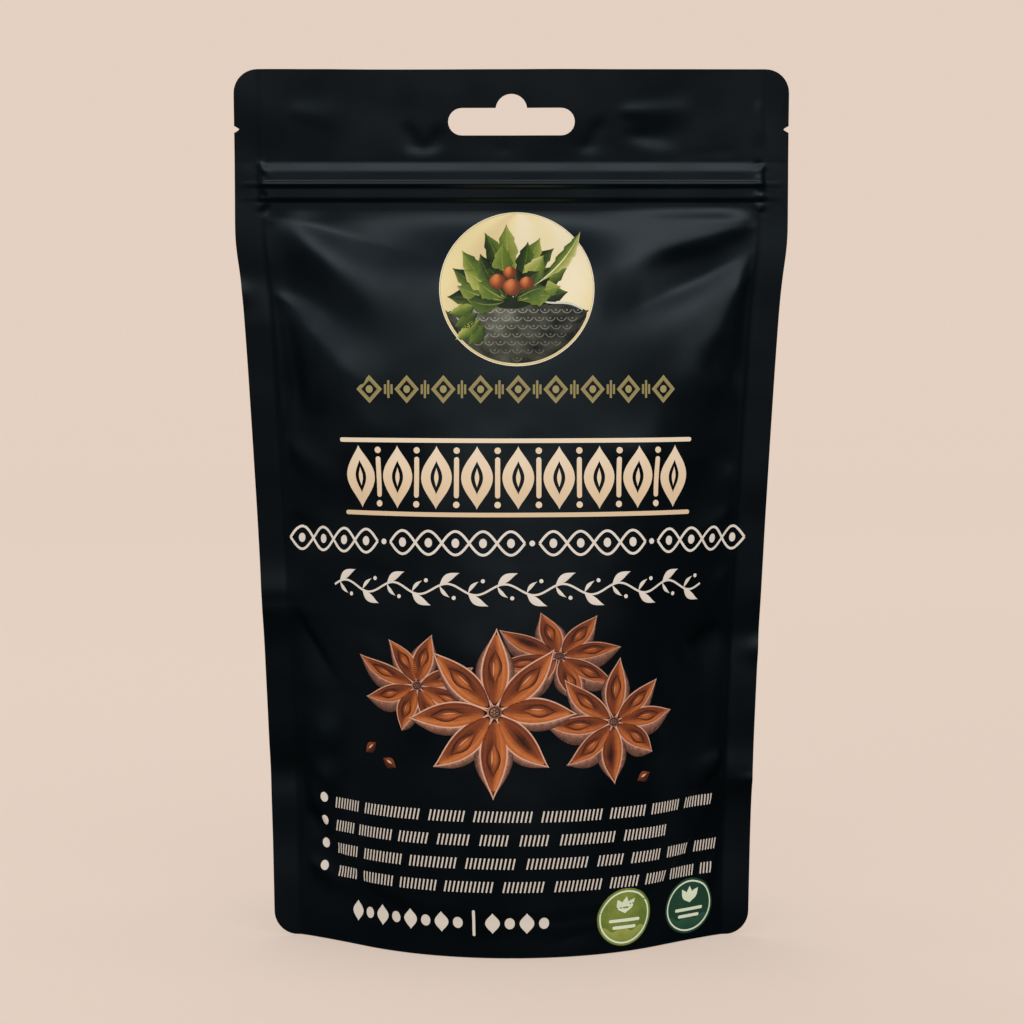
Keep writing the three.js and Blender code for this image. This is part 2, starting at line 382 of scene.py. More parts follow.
@dataclass(frozen=True)
class PackForm:
    """The form of the pack: two sheets that are welded at the sides and spread by the gusset at the foot.

    A sheet bends over belly_arc from its middle line and runs straight on to the crease beside its weld.
    """

    width: float = 140.0
    height: float = 220.0
    weld: float = 7.0
    corner_radius: float = 6.0
    sheet_half: float = 0.18
    pocket_top: float = 185.8
    belly_arc: float = 40.0
    foot_turn: float = 0.735
    fullness: float = 1.3
    shoulder: float = 0.45
    ease: float = 11.5
    crease: float = 1.0
    dent_share: float = 0.8
    zipper: Zipper = Zipper()
    filling: Filling = Filling()
    slack: Slack = Slack()
    gusset: Gusset = Gusset()
    sheet_seeds: tuple[int, int] = (11, 31)
    fold_side_fade: float = 5.0
    fold_top_fade: float = 4.0
    weld_ridges: tuple[Ridge, ...] = (Ridge(0.1, 0.9, 0.55), Ridge(-0.12, -0.6, 0.7))
    weld_ridge_fade: float = 3.0
    skirt_ridges: tuple[Ridge, ...] = (Ridge(0.13, 0.3, 1.0), Ridge(-0.15, 2.3, 1.4))
    skirt_swell: float = 0.55
    skirt_swell_fade: float = 5.0
    skirt_swell_top: float = 46.0
    skirt_swell_reach: float = 40.0
    skirt_inset: float = 1.0
    skirt_fade: float = 6.0
    weld_wave: Ripple = Ripple(0.13, 9, 71, stretch_u=0.3)
    weld_wave_half: float = 2.0
    header_ripple: Ripple = Ripple(0.06, 7, 3)
    header_ripple_fade: float = 4.0
    header_waves: tuple[Ripple, ...] = (
        Ripple(0.8, 24, 53, stretch_z=0.35),
        Ripple(0.3, 9, 54, stretch_z=0.4),
    )
    header_wave_fade: float = 14.0
    header_lean: float = 0.05
    header_fold_gain: float = 4.0
    folds: dict[Side, tuple[Fold, ...]] = field(default_factory=dict)
    header_folds: tuple[Fold, ...] = ()
    kinks: tuple[Kink, ...] = ()

    @property
    def pocket_half(self) -> float:
        """Half of the sheet's width between the side welds."""
        return self.width / 2 - self.weld

    def turn_at(self, z: Array) -> Array:
        """How far a sheet turns at a height, in radians, from its middle to its straight part.

        Args:
            z: Heights in millimetres.

        Returns:
            The turn at each of them.
        """
        share = np.clip(z / self.pocket_top, 0.0, 1.0)
        easing = 1 - np.exp(-((np.maximum(self.pocket_top - z, 0.0) / self.ease) ** 2))
        return np.maximum(self.foot_turn * easing * (1 - share**self.fullness) ** self.shoulder, TINY)

    def section(self, distance: Array, z: Array) -> tuple[Array, Array, Array]:
        """Follows the half section of a sheet from its middle line outwards.

        Args:
            distance: How far along the section.
            z: The section's height.

        Returns:
            How far out that is, how far behind the middle line, and the direction that the sheet faces there.
        """
        turn = self.turn_at(z)
        radius = self.belly_arc / turn
        facing = np.minimum(distance, self.belly_arc) / radius
        flank = np.clip(distance - self.belly_arc, 0, self.pocket_half - self.crease - self.belly_arc)
        x = radius * np.sin(facing) + flank * np.cos(turn)
        drop = radius * (1 - np.cos(facing)) + flank * np.sin(turn)
        bend = 2 * self.crease / turn
        past = np.clip(distance - (self.pocket_half - self.crease), 0, 2 * self.crease)
        left = turn - past / bend
        x = x + bend * (np.sin(turn) - np.sin(left))
        drop = drop + bend * (np.cos(left) - np.cos(turn))
        flat = np.maximum(distance - (self.pocket_half + self.crease), 0)
        return x + flat, drop, np.where(past > 0, left, facing)

    def weld_line(self, u: Array) -> Array:
        """The height of the gusset's weld to a sheet."""
        outwards = np.minimum(np.abs(u) / self.pocket_half, 1.0)
        return arch(self.gusset.skirt_rise, self.gusset.side_rise, outwards, self.gusset.weld_arch)

    def skirt_lift(self, u: Array, z: Array) -> Array:
        """The pocket swells a little over the gusset's weld, and the weld itself shows as a fine ridge.

        Args:
            u: Places across the flat sheet.
            z: Their heights.

        Returns:
            The height to add at each place.
        """
        over = z - self.weld_line(u)
        top = self.skirt_swell_top
        swell = smooth(over / self.skirt_swell_fade) * smooth((top - over) / self.skirt_swell_reach)
        fade = smooth((self.pocket_half - self.skirt_inset - np.abs(u)) / self.skirt_fade)
        return fade * (self.skirt_swell * swell + sum(ridge.lift(over) for ridge in self.skirt_ridges))

    def relief(self, side: Side, u: Array, z: Array) -> Array:
        """How far the sheet stands out of its plain bulge at u, z.

        Args:
            side: The front or the back.
            u: Places across the flat sheet.
            z: Their heights.

        Returns:
            How far each place stands out.
        """
        inwards, below = self.pocket_half - np.abs(u), self.pocket_top - z
        seed = self.sheet_seeds[0 if side is Side.FRONT else 1]
        folds = sum((fold.lift(u, z) for fold in self.folds.get(side, ())), start=np.zeros_like(u))
        folds = folds * smooth(inwards / self.fold_side_fade) * smooth(below / self.fold_top_fade)
        seam = sum(ridge.lift(inwards) for ridge in self.weld_ridges) * smooth(below / self.weld_ridge_fade)
        above_zip = -below - self.zipper.height
        header = self.header_ripple.lift(u, z, seed) * smooth(above_zip / self.header_ripple_fade)
        waved = self.slack.lift(u, z, inwards, below, seed) + self.filling.lift(u, z)
        return self.zipper.lift(u, z, inwards, -below) + folds + waved + seam + header + self.skirt_lift(u, z)

    def shift(self, u: Array, z: Array) -> Array:
        """How far both sheets lean back together: kinks in the side welds, and waves in the header.

        Args:
            u: Places across the flat sheet.
            z: Their heights.

        Returns:
            How far each place moves.
        """
        inwards = self.pocket_half - np.abs(u)
        weld = smooth((self.weld_wave_half - inwards) / (2 * self.weld_wave_half))
        total = weld * self.weld_wave.lift(u, z)
        for kink in self.kinks:
            far = self.width / 2 - np.abs(u) if kink.rim else np.maximum(inwards, 0)
            here = kink.shift * gauss((z - kink.z) / kink.reach) * np.exp(-far / kink.spread)
            total = total + np.where(kink.side * u > 0, here, 0.0)
        above_zip = np.maximum(z - self.pocket_top - self.zipper.height, 0)
        header = smooth(above_zip / self.header_wave_fade)
        wave = sum(ripple.lift(u, z) for ripple in self.header_waves)
        dents = sum((fold.lift(u, z) for fold in self.header_folds), start=np.zeros_like(u))
        dents = smooth(self.header_fold_gain * header) * dents
        return total - self.header_lean * above_zip + header * wave - dents

    def place(self, side: Side, u: Array, z: Array, proud: Array | float = 0.0) -> Array:
        """Finds points on the pack.

        Args:
            side: The sheet.
            u: Places across it.
            z: Heights.
            proud: How far the points stand out of the sheet.

        Returns:
            The points, one row each.
        """
        x, drop, facing = self.section(np.abs(u), z)
        whole = self.section(np.full_like(u, self.pocket_half + self.crease), z)[1]
        plain = self.sheet_half + whole - drop
        relief = self.relief(side, u, z)
        # A dent takes no more than a share of the way to the middle, so it stops short of the other sheet.
        room = self.dent_share * plain
        rise = np.maximum(relief, room * np.tanh(relief / room)) + proud
        x = np.sign(u) * (x + rise * np.sin(facing))
        y = int(side) * (plain + rise * np.cos(facing)) + self.shift(u, z)
        return np.stack([x, y, z], axis=1)


# --------------------------------------------------------------------------------------------------
# Flat patterns
# --------------------------------------------------------------------------------------------------


def arc(centre: Point, radius: float, start: float, end: float, steps: int) -> list[Point]:
    """Points along an arc, from one angle to another in degrees."""
    turns = [math.radians(start + (end - start) * i / steps) for i in range(steps + 1)]
    return [(centre[0] + radius * math.cos(t), centre[1] + radius * math.sin(t)) for t in turns]


def spaced(*runs: tuple[float, int]) -> Array:
    """Places from 0 on. Each run gives the place where it ends and its number of equal steps."""
    ends = [0.0, *(end for end, _ in runs)]
    steps = [np.linspace(a, b, count, endpoint=False) for a, b, (_, count) in zip(ends, ends[1:], runs)]
    return np.append(np.concatenate(steps), ends[-1])


def grid_step(place: float, steps: int) -> int:
    """Which step of a new grid a place on it lies at. It runs from -1 to 1."""
    return round((place + 1) / 2 * steps)


def flat_grid(columns: Array, rows: Array) -> bmesh.types.BMesh:
    """A grid in the plane y = -1, with its lines at the columns' u and the rows' z, that faces -Y.

    Args:
        columns: The places across.
        rows: The heights.

    Returns:
        The grid.
    """
    bm = bmesh.new()
    across, up = len(columns) - 1, len(rows) - 1
    bmesh.ops.create_grid(bm, x_segments=across, y_segments=up, size=1.0)
    for vert in bm.verts:
        vert.co = Vector((columns[grid_step(vert.co.x, across)], -1.0, rows[grid_step(vert.co.y, up)]))
    return bm


def sides_of(outline: Sequence[Point]) -> Iterable[tuple[Point, Point]]:
    """The sides of a closed outline, each from one point to the next."""
    return zip(outline, [*outline[1:], outline[0]])


def surrounds(outline: Sequence[Point], u: float, z: float) -> bool:
    """Whether a closed outline runs round a place.

    Args:
        outline: The corners of a closed outline.
        u: The place across.
        z: Its height.

    Returns:
        Whether the place lies inside.
    """
    inside = False
    for (u0, z0), (u1, z1) in sides_of(outline):
        if (z0 > z) != (z1 > z) and u < u0 + (u1 - u0) * (z - z0) / (z1 - z0):
            inside = not inside
    return inside


def cut_out(bm: bmesh.types.BMesh, outline: Sequence[Point], margin: float = 1.6) -> None:
    """Cuts a hole with a closed outline into a flat pattern: faces are split along it, and those inside go.

    Args:
        bm: The pattern.
        outline: The hole's outline.
        margin: Faces closer to the outline than this are split.
    """
    low, high = np.min(outline, axis=0) - margin, np.max(outline, axis=0) + margin
    # Faces, edges and vertices are kept as the keys of dictionaries, so that their order is always the same.
    zone = {}
    for face in bm.faces:
        middle = face.calc_center_median()
        if low[0] < middle.x < high[0] and low[1] < middle.z < high[1]:
            zone[face] = None
    for (u0, z0), (u1, z1) in sides_of(outline):
        start, run = Vector((u0, -1.0, z0)), Vector((u1 - u0, 0, z1 - z0))
        length = run.length
        along = run.normalized()
        across = Vector((along.z, 0, -along.x))
        near = []
        for face in zone:
            off = face.calc_center_median() - start
            if -margin / 2 < off.dot(along) < length + margin / 2 and abs(off.dot(across)) < margin:
                near.append(face)
        edges = dict.fromkeys(edge for face in near for edge in face.edges)
        verts = dict.fromkeys(vert for face in near for vert in face.verts)
        geom = [*near, *edges, *verts]
        for face in near:
            del zone[face]
        split = bmesh.ops.bisect_plane(bm, geom=geom, dist=TINY, plane_co=start, plane_no=across)
        zone.update(dict.fromkeys(item for item in split["geom"] if isinstance(item, bmesh.types.BMFace)))
    inside = []
    for face in zone:
        middle = face.calc_center_median()
        if surrounds(outline, middle.x, middle.z):
            inside.append(face)
    bmesh.ops.delete(bm, geom=inside, context="FACES")


def flat_places(bm: bmesh.types.BMesh) -> Array:
    """The vertices of a pattern, one row each."""
    bm.verts.ensure_lookup_table()
    return np.array([vert.co for vert in bm.verts], float)


def add_object(name: str, data: bpy.types.ID) -> bpy.types.Object:
    """Makes an object of a mesh, light or camera, and links it to the scene."""
    made = bpy.data.objects.new(name, data)
    bpy.context.scene.collection.objects.link(made)
    return made


def to_object(
    name: str, bm: bmesh.types.BMesh, points: Array, material: bpy.types.Material
) -> bpy.types.Object:
    """Writes a pattern as a mesh object.

    Args:
        name: The object's name.
        bm: The pattern, which is freed.
        points: A place in millimetres for each of its vertices.
        material: Its finish.

    Returns:
        The object, linked to the scene.
    """
    mesh = bpy.data.meshes.new(name)
    bm.to_mesh(mesh)
    bm.free()
    mesh.vertices.foreach_set("co", (points * MM).astype(np.float32).ravel())
    mesh.materials.append(material)
    mesh.shade_smooth()
    mesh.set_sharp_from_angle(angle=math.radians(SHARP_ANGLE))
    mesh.update()
    return add_object(name, mesh)


# --------------------------------------------------------------------------------------------------
# Finishes
# --------------------------------------------------------------------------------------------------

Colour = tuple[float, float, float]
Stops = Sequence[tuple[float, Colour]]


def srgb(red: int, green: int, blue: int) -> Colour:
    """A screen colour as the linear one that shaders take."""
    shares = [value / 255 for value in (red, green, blue)]
    return tuple(s / 12.92 if s <= 0.04045 else ((s + 0.055) / 1.055) ** 2.4 for s in shares)


def opaque(colour: Colour) -> tuple[float, float, float, float]:
    """A colour with full alpha, as sockets take it."""
    return (*colour, 1.0)


class Wiring:
    """A node tree that is filled one node at a time."""

    def __init__(self, tree: bpy.types.NodeTree) -> None:
        """Starts on a tree."""
        self.tree = tree

    def feed(self, node: bpy.types.Node, values: dict[str | int, object]) -> None:
        """Fills inputs of a node with numbers, with colours or with the sockets of other nodes.

        Args:
            node: The node.
            values: What each named input takes: a value or another node's output.
        """
        for key, value in values.items():
            if isinstance(value, bpy.types.NodeSocket):
                self.tree.links.new(value, node.inputs[key])
            else:
                node.inputs[key].default_value = value

    def add(
        self, kind: str, values: dict[str | int, object] | None = None, **settings: object
    ) -> bpy.types.NodeOutputs:
        """Adds a node.

        Args:
            kind: Its type, without the ShaderNode prefix.
            values: What goes into its inputs.
            settings: Its own settings.

        Returns:
            The node's outputs.
        """
        node = self.tree.nodes.new(kind if kind.startswith("NodeGroup") else "ShaderNode" + kind)
        for key, value in settings.items():
            setattr(node, key, value)
        self.feed(node, values or {})
        return node.outputs

    def places(self) -> bpy.types.NodeSocket:
        """Where a point lies on its object."""
        return self.add("TexCoord")["Object"]

    def attribute(self, name: str) -> bpy.types.NodeSocket:
        """The value of a mesh attribute."""
        return self.add("Attribute", attribute_name=name)["Fac"]

    def noise(self, place: object, scale: object, **values: float) -> bpy.types.NodeSocket:
        """The height of a noise texture, whose other inputs are given by their names in small letters."""
        named = {name.capitalize(): value for name, value in values.items()}
        return self.add("TexNoise", {"Vector": place, "Scale": scale, **named})["Fac"]

    def math(self, operation: str, *terms: object) -> bpy.types.NodeSocket:
        """The result of a Math node on up to three terms."""
        return self.add("Math", dict(enumerate(terms)), operation=operation)[0]

    def vector(self, operation: str, *terms: object) -> bpy.types.NodeSocket:
        """The result of a VectorMath node: a length, or else a vector, which SCALE takes with its factor."""
        places = (0, "Scale") if operation == "SCALE" else (0, 1)
        out = self.add("VectorMath", dict(zip(places, terms)), operation=operation)
        return out["Value" if operation == "LENGTH" else "Vector"]

    def ramp(self, factor: bpy.types.NodeSocket, low: float, high: float) -> bpy.types.NodeSocket:
        """A factor stretched so that low becomes 0 and high 1."""
        values = {"Value": factor, "From Min": low, "From Max": high}
        return self.add("MapRange", values, interpolation_type="SMOOTHSTEP")["Result"]

    def blend(self, factor: object, low: object, high: object) -> bpy.types.NodeSocket:
        """A colour between two others."""
        return self.add("Mix", {0: factor, 6: low, 7: high}, data_type="RGBA")[2]

    def colours(self, factor: bpy.types.NodeSocket, stops: Stops) -> bpy.types.NodeSocket:
        """The colour that belongs to a factor, between stops.

        Args:
            factor: What is looked up.
            stops: The colours and their places from 0 to 1.

        Returns:
            The colour.
        """
        node = self.tree.nodes.new("ShaderNodeValToRGB")
        self.feed(node, {"Fac": factor})
        elements = node.color_ramp.elements
        while len(elements) < len(stops):
            elements.new(0.5)
        for element, (place, colour) in zip(elements, stops):
            element.position, element.color = place, opaque(colour)
        return node.outputs["Color"]

    def bump(self, height: bpy.types.NodeSocket, depth: float, strength: float = 1.0) -> bpy.types.NodeSocket:
        """The normal of a surface with fine relief, depth in metres."""
        return self.add("Bump", {"Strength": strength, "Distance": depth, "Height": height})["Normal"]


def node_group(
    name: str, inputs: dict[str, str], outputs: dict[str, str]
) -> tuple[bpy.types.NodeTree, Wiring]:
    """Starts a shader node group.

    Args:
        name: The group's name.
        inputs: Its inputs, with the kind of each: Float, Vector or Color.
        outputs: Its outputs, in the same way.

    Returns:
        The group, and its wiring.
    """
    group = bpy.data.node_groups.new(name, "ShaderNodeTree")
    for sockets, way in ((inputs, "INPUT"), (outputs, "OUTPUT")):
        for label, kind in sockets.items():
            group.interface.new_socket(name=label, in_out=way, socket_type="NodeSocket" + kind)
    return group, Wiring(group)


def crinkle_group() -> bpy.types.NodeTree:
    """Fine crinkles of a plastic film, and the soft patches where it has been rubbed.

    Returns:
        The group.
    """
    inputs = {"Vector": "Vector", "Scale": "Float"}
    group, wiring = node_group("film_crinkle", inputs, {"Height": "Float", "Rub": "Float", "Speck": "Float"})
    given = wiring.add("NodeGroupInput")
    place, scale = given["Vector"], given["Scale"]
    crease = wiring.noise(place, scale, detail=2.0, distortion=0.6)
    rub = wiring.noise(place, wiring.math("MULTIPLY", scale, 0.16), detail=3.0)
    speck = wiring.noise(place, wiring.math("MULTIPLY", scale, 9.0), detail=0.0)
    wiring.add("NodeGroupOutput", {"Height": crease, "Rub": wiring.ramp(rub, 0.35, 0.7), "Speck": speck})
    return group


def ink_group() -> bpy.types.NodeTree:
    """The mottle of ink on film: soft patches and a fine grain that vary its tone.

    Returns:
        The group.
    """
    inputs = {"Vector": "Vector", "Scale": "Float", "Tone": "Float", "Grain": "Float"}
    group, wiring = node_group("ink_mottle", inputs, {"Tone": "Float", "Height": "Float"})
    given = wiring.add("NodeGroupInput")
    patch = wiring.noise(given["Vector"], given["Scale"], detail=3.0, roughness=0.65)
    grain = wiring.noise(given["Vector"], wiring.math("MULTIPLY", given["Scale"], 5.0), detail=1.0)
    uneven = wiring.math("MULTIPLY_ADD", grain, 0.6, wiring.math("SUBTRACT", patch, 0.8))
    tone = wiring.math("MULTIPLY_ADD", uneven, given["Grain"], given["Tone"])
    wiring.add("NodeGroupOutput", {"Tone": tone, "Height": grain})
    return group


def start_material(
    name: str, roughness: float, specular: float
) -> tuple[bpy.types.Material, Wiring, bpy.types.Node]:
    """Starts a material with a Principled shader.

    Args:
        name: Its name.
        roughness: The shader's roughness.
        specular: Its specular level.

    Returns:
        The material, its wiring and the shader.
    """
    material = bpy.data.materials.new(name)
    material.use_nodes = True
    shader = material.node_tree.nodes["Principled BSDF"]
    wiring = Wiring(material.node_tree)
    wiring.feed(shader, {"Roughness": roughness, "Specular IOR Level": specular})
    return material, wiring, shader


@dataclass(frozen=True)
class FilmFinish:
    """Matt laminated film, near black, a little greyer where it is rubbed."""

    tone: Colour = (0.0003, 0.0022, 0.0038)
    rubbed: Colour = (0.0014, 0.0040, 0.0062)
    rub_share: float = 0.35
    crest_start: float = 0.2
    roughness: float = 0.40
    least_roughness: float = 0.37
    rub_roughness: float = 0.07
    speck_roughness: float = 0.05
    specular: float = 0.5
    sheen: Colour = (0.88, 0.99, 1.0)
    crinkle_scale: float = 260.0
    crinkle_depth: float = 0.000012

    def material(self, crinkle: bpy.types.NodeTree) -> bpy.types.Material:
        """Builds the material on the crinkle group.

        Args:
            crinkle: The group that makes the film's fine creases.

        Returns:
            The film's material.
        """
        material, wiring, shader = start_material("film", self.roughness, self.specular)
        given = {"Vector": wiring.places(), "Scale": self.crinkle_scale}
        film = wiring.add("Group", given, node_tree=crinkle)
        crest = wiring.ramp(wiring.attribute("crest"), self.crest_start, 1.0)
        worn = wiring.math("MULTIPLY", crest, film["Rub"])
        shade = wiring.math("MULTIPLY_ADD", film["Rub"], self.rub_share, worn)
        rough = wiring.math("MULTIPLY_ADD", film["Rub"], self.rub_roughness, self.least_roughness)
        looks = {
            "Specular Tint": opaque(self.sheen),
            "Base Color": wiring.blend(shade, opaque(self.tone), opaque(self.rubbed)),
            "Roughness": wiring.math("MULTIPLY_ADD", film["Speck"], self.speck_roughness, rough),
            "Normal": wiring.bump(film["Height"], self.crinkle_depth),
        }
        wiring.feed(shader, looks)
        return material


@dataclass(frozen=True)
class InkFinish:
    """Ink printed on the film, whose colour follows the tone of each shape."""

    name: str
    stops: Stops
    scale: float = 420.0
    grain: float = 0.08
    roughness: float = 0.55
    grain_roughness: float = 0.12
    specular: float = 0.25
    relief: float = 0.00001
    relief_strength: float = 0.5

    def material(self, mottle: bpy.types.NodeTree) -> bpy.types.Material:
        """Builds the material on the mottle group.

        Args:
            mottle: The group that makes the ink uneven.

        Returns:
            The ink's material.
        """
        material, wiring, shader = start_material(self.name, self.roughness, self.specular)
        given = {"Vector": wiring.places(), "Tone": wiring.attribute("tone")}
        ink = wiring.add("Group", {**given, "Scale": self.scale, "Grain": self.grain}, node_tree=mottle)
        smoothest = self.roughness - self.grain_roughness / 2
        looks = {
            "Base Color": wiring.colours(ink["Tone"], self.stops),
            "Roughness": wiring.math("MULTIPLY_ADD", ink["Height"], self.grain_roughness, smoothest),
            "Normal": wiring.bump(ink["Height"], self.relief, self.relief_strength),
        }
        wiring.feed(shader, looks)
        return material


def stops(*rows: tuple[float, int, int, int]) -> Stops:
    """The stops of an ink, from rows of a tone and a screen colour."""
    return tuple((tone, srgb(*screen)) for tone, *screen in rows)


CREAM = stops((0.0, 196, 164, 126), (0.5, 227, 199, 164), (1.0, 240, 222, 197))
PALE_CREAM = stops((0.0, 180, 164, 148), (0.5, 218, 205, 190), (1.0, 234, 224, 211))
FIELD_YELLOW = stops((0.0, 204, 166, 128), (0.5, 231, 212, 156), (1.0, 240, 226, 200))
GOLD = stops((0.0, 104, 92, 52), (0.5, 140, 126, 78), (1.0, 172, 157, 108))
HUSK_BROWN = stops(
    (0.0, 20, 9, 7), (0.3, 84, 50, 38), (0.55, 130, 86, 68), (0.8, 200, 140, 112), (1.0, 232, 184, 156)
)
RED_BROWN = stops(
    *((0.0, 16, 5, 3), (0.25, 66, 25, 10), (0.5, 132, 60, 22)),
    *((0.7, 190, 102, 42), (0.85, 208, 132, 84), (1.0, 250, 216, 186)),
)
LEAF_GREEN = stops(
    (0.0, 10, 14, 6), (0.25, 42, 60, 18), (0.5, 98, 118, 36), (0.75, 166, 166, 80), (1.0, 226, 222, 172)
)
STONE_GREY = stops((0.0, 24, 25, 17), (0.3, 78, 78, 64), (0.6, 138, 136, 120), (1.0, 222, 220, 202))
DARK_GREEN = stops((0.0, 12, 36, 24), (0.5, 30, 72, 50), (1.0, 80, 120, 90))
MARK_CREAM = stops((0.0, 120, 130, 90), (1.0, 224, 229, 200))
INKS = (
    InkFinish("cream_ink", CREAM),
    InkFinish("fine_ink", PALE_CREAM),
    InkFinish("field_ink", FIELD_YELLOW),
    InkFinish("gold_ink", GOLD),
    InkFinish("cup_ink", RED_BROWN, scale=600.0, grain=0.14),
    InkFinish("rim_ink", HUSK_BROWN, scale=800.0, grain=0.22),
    InkFinish("husk_ink", HUSK_BROWN, scale=900.0, grain=0.42),
    InkFinish("green_ink", LEAF_GREEN, grain=0.14),
    InkFinish("stone_ink", STONE_GREY, grain=0.3),
    InkFinish("dark_green_ink", DARK_GREEN),
    InkFinish("mark_ink", MARK_CREAM),
)


# --------------------------------------------------------------------------------------------------
# The pouch
# --------------------------------------------------------------------------------------------------


@dataclass(frozen=True)
class HangingSlot:
    """The hanging slot: a bar with round ends and a round hump on its upper side."""

    width: float = 32.0
    bar: float = 6.9
    rise: float = 10.4
    hump: float = 4.0
    foot: float = 203.5

    def outline(self) -> list[Point]:
        """Its outline, anticlockwise.

        Returns:
            Its corners in order, in millimetres.
        """
        end = self.bar / 2
        straight = self.width / 2 - end
        centre = self.foot + self.rise - self.hump
        lean = math.degrees(math.asin((self.foot + self.bar - centre) / self.hump))
        right = arc((straight, self.foot + end), end, -90, 90, 12)
        hump = arc((0, centre), self.hump, lean, 180 - lean, 14)
        left = arc((-straight, self.foot + end), end, 90, 270, 12)
        return [*right, *hump, *left]


@dataclass(frozen=True)
class TearNotch:
    """A small bite at one end of the tear line."""

    side: int
    edge: float = 70.0
    height: float = 205.0
    bite: float = 1.3
    half: float = 1.4

    def outline(self) -> list[Point]:
        """Its outline, which starts outside the film."""
        lower = [(1.0, -1.0), (-0.15, -0.55), (-0.75, -0.22), (-1.0, 0.0)]
        whole = [*lower, *((depth, -rise) for depth, rise in lower[-2::-1])]
        return [(self.side * (self.edge + a * self.bite), self.height + b * self.half) for a, b in whole]


@dataclass
class FilmPouch:
    """The pouch itself: two sheets and a gusset of thin film, closed all round."""

    form: PackForm
    slot: HangingSlot = field(default_factory=HangingSlot)
    wall: float = 0.34
    gusset_steps: int = 40
    merge: float = 0.02
    crest_rise: float = 1.5

    def pattern(self) -> bmesh.types.BMesh:
        """The front sheet's flat pattern, with round corners, the slot and the notches.

        Returns:
            The flat mesh.
        """
        form = self.form
        weld, top = form.pocket_half, form.pocket_top
        zip_end = top + form.zipper.height + 0.7
        # The grid is finest beside the welds, along the foot and over the zipper.
        half = spaced((50, 42), (weld - 2.5, 12), (weld + 2, 10), (form.width / 2, 5))
        columns = np.concatenate([-half[:0:-1], half])
        low = ((8, 12), (48, 60), (150, 92), (top - 12, 30))
        rows = spaced(*low, (top - 1.5, 20), (zip_end, 42), (form.height, 24))
        bm = flat_grid(columns, rows)
        for outline in self.corner_scraps():
            cut_out(bm, outline)
        cut_out(bm, self.slot.outline())
        for side in (-1, 1):
            cut_out(bm, TearNotch(side).outline())
        bmesh.ops.remove_doubles(bm, verts=bm.verts, dist=self.merge)
        return bm

    def corner_scraps(self) -> Iterable[list[Point]]:
        """The outlines of what is cut off at the four corners.

        Returns:
            The outline of each scrap.
        """
        form, radius = self.form, self.form.corner_radius
        for side in (-1, 1):
            for up, edge in ((-1, 0.0), (1, form.height)):
                u, z = side * (form.width / 2 - radius), edge - up * radius
                quarter = [(u + side * a, z + up * b) for a, b in arc((0, 0), radius, 0, 90, 10)]
                yield [*quarter, (side * (form.width / 2 + 1), edge + up)]

    def slab(self) -> bmesh.types.BMesh:
        """The pattern as a flat slab, from y = -1 in front to 1 at the back, with rows across its foot.

        Returns:
            The closed flat mesh.
        """
        bm = self.pattern()
        copied = bmesh.ops.extrude_face_region(bm, geom=bm.faces[:])["geom"]
        verts = [item for item in copied if isinstance(item, bmesh.types.BMVert)]
        bmesh.ops.translate(bm, verts=verts, vec=(0, 2, 0))
        rim = []
        for edge in bm.edges:
            start, end = edge.verts[0].co, edge.verts[1].co
            if max(start.z, end.z) < TINY and abs(start.y - end.y) > 1:
                rim.append(edge)
        bmesh.ops.subdivide_edges(bm, edges=rim, cuts=self.gusset_steps - 1, use_grid_fill=True)
        bmesh.ops.recalc_face_normals(bm, faces=bm.faces)
        return bm

    def build(self, material: bpy.types.Material) -> bpy.types.Object:
        """Wraps the slab into the pouch.

        Args:
            material: The film.

        Returns:
            The piece.
        """
        bm = self.slab()
        flat = flat_places(bm)
        u, across, z = flat.T
        # The gusset's middle row lies at 0, without the noise of its subdivision.
        across = np.round(across, 6)
        points, crest = np.zeros_like(flat), np.zeros(len(flat), np.float32)
        for side in Side:
            on = np.sign(across) == int(side)
            points[on] = self.form.place(side, u[on], z[on])
            lifts = sum(np.maximum(fold.lift(u[on], z[on]), 0) for fold in self.form.folds[side])
            crest[on] = np.clip(lifts / self.crest_rise, 0, 1)
        under = (z < TINY) & (np.abs(across) < 1 - TINY)
        points[under] = self.form.gusset.points(self.form, u[under], across[under], self.wall)
        crest[under] = 0
        pouch = to_object("film_pouch", bm, points, material)
        attribute = pouch.data.attributes.new("crest", "FLOAT", "POINT")
        attribute.data.foreach_set("value", crest)
        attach(pouch, BODY)
        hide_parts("pouch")
        return pouch


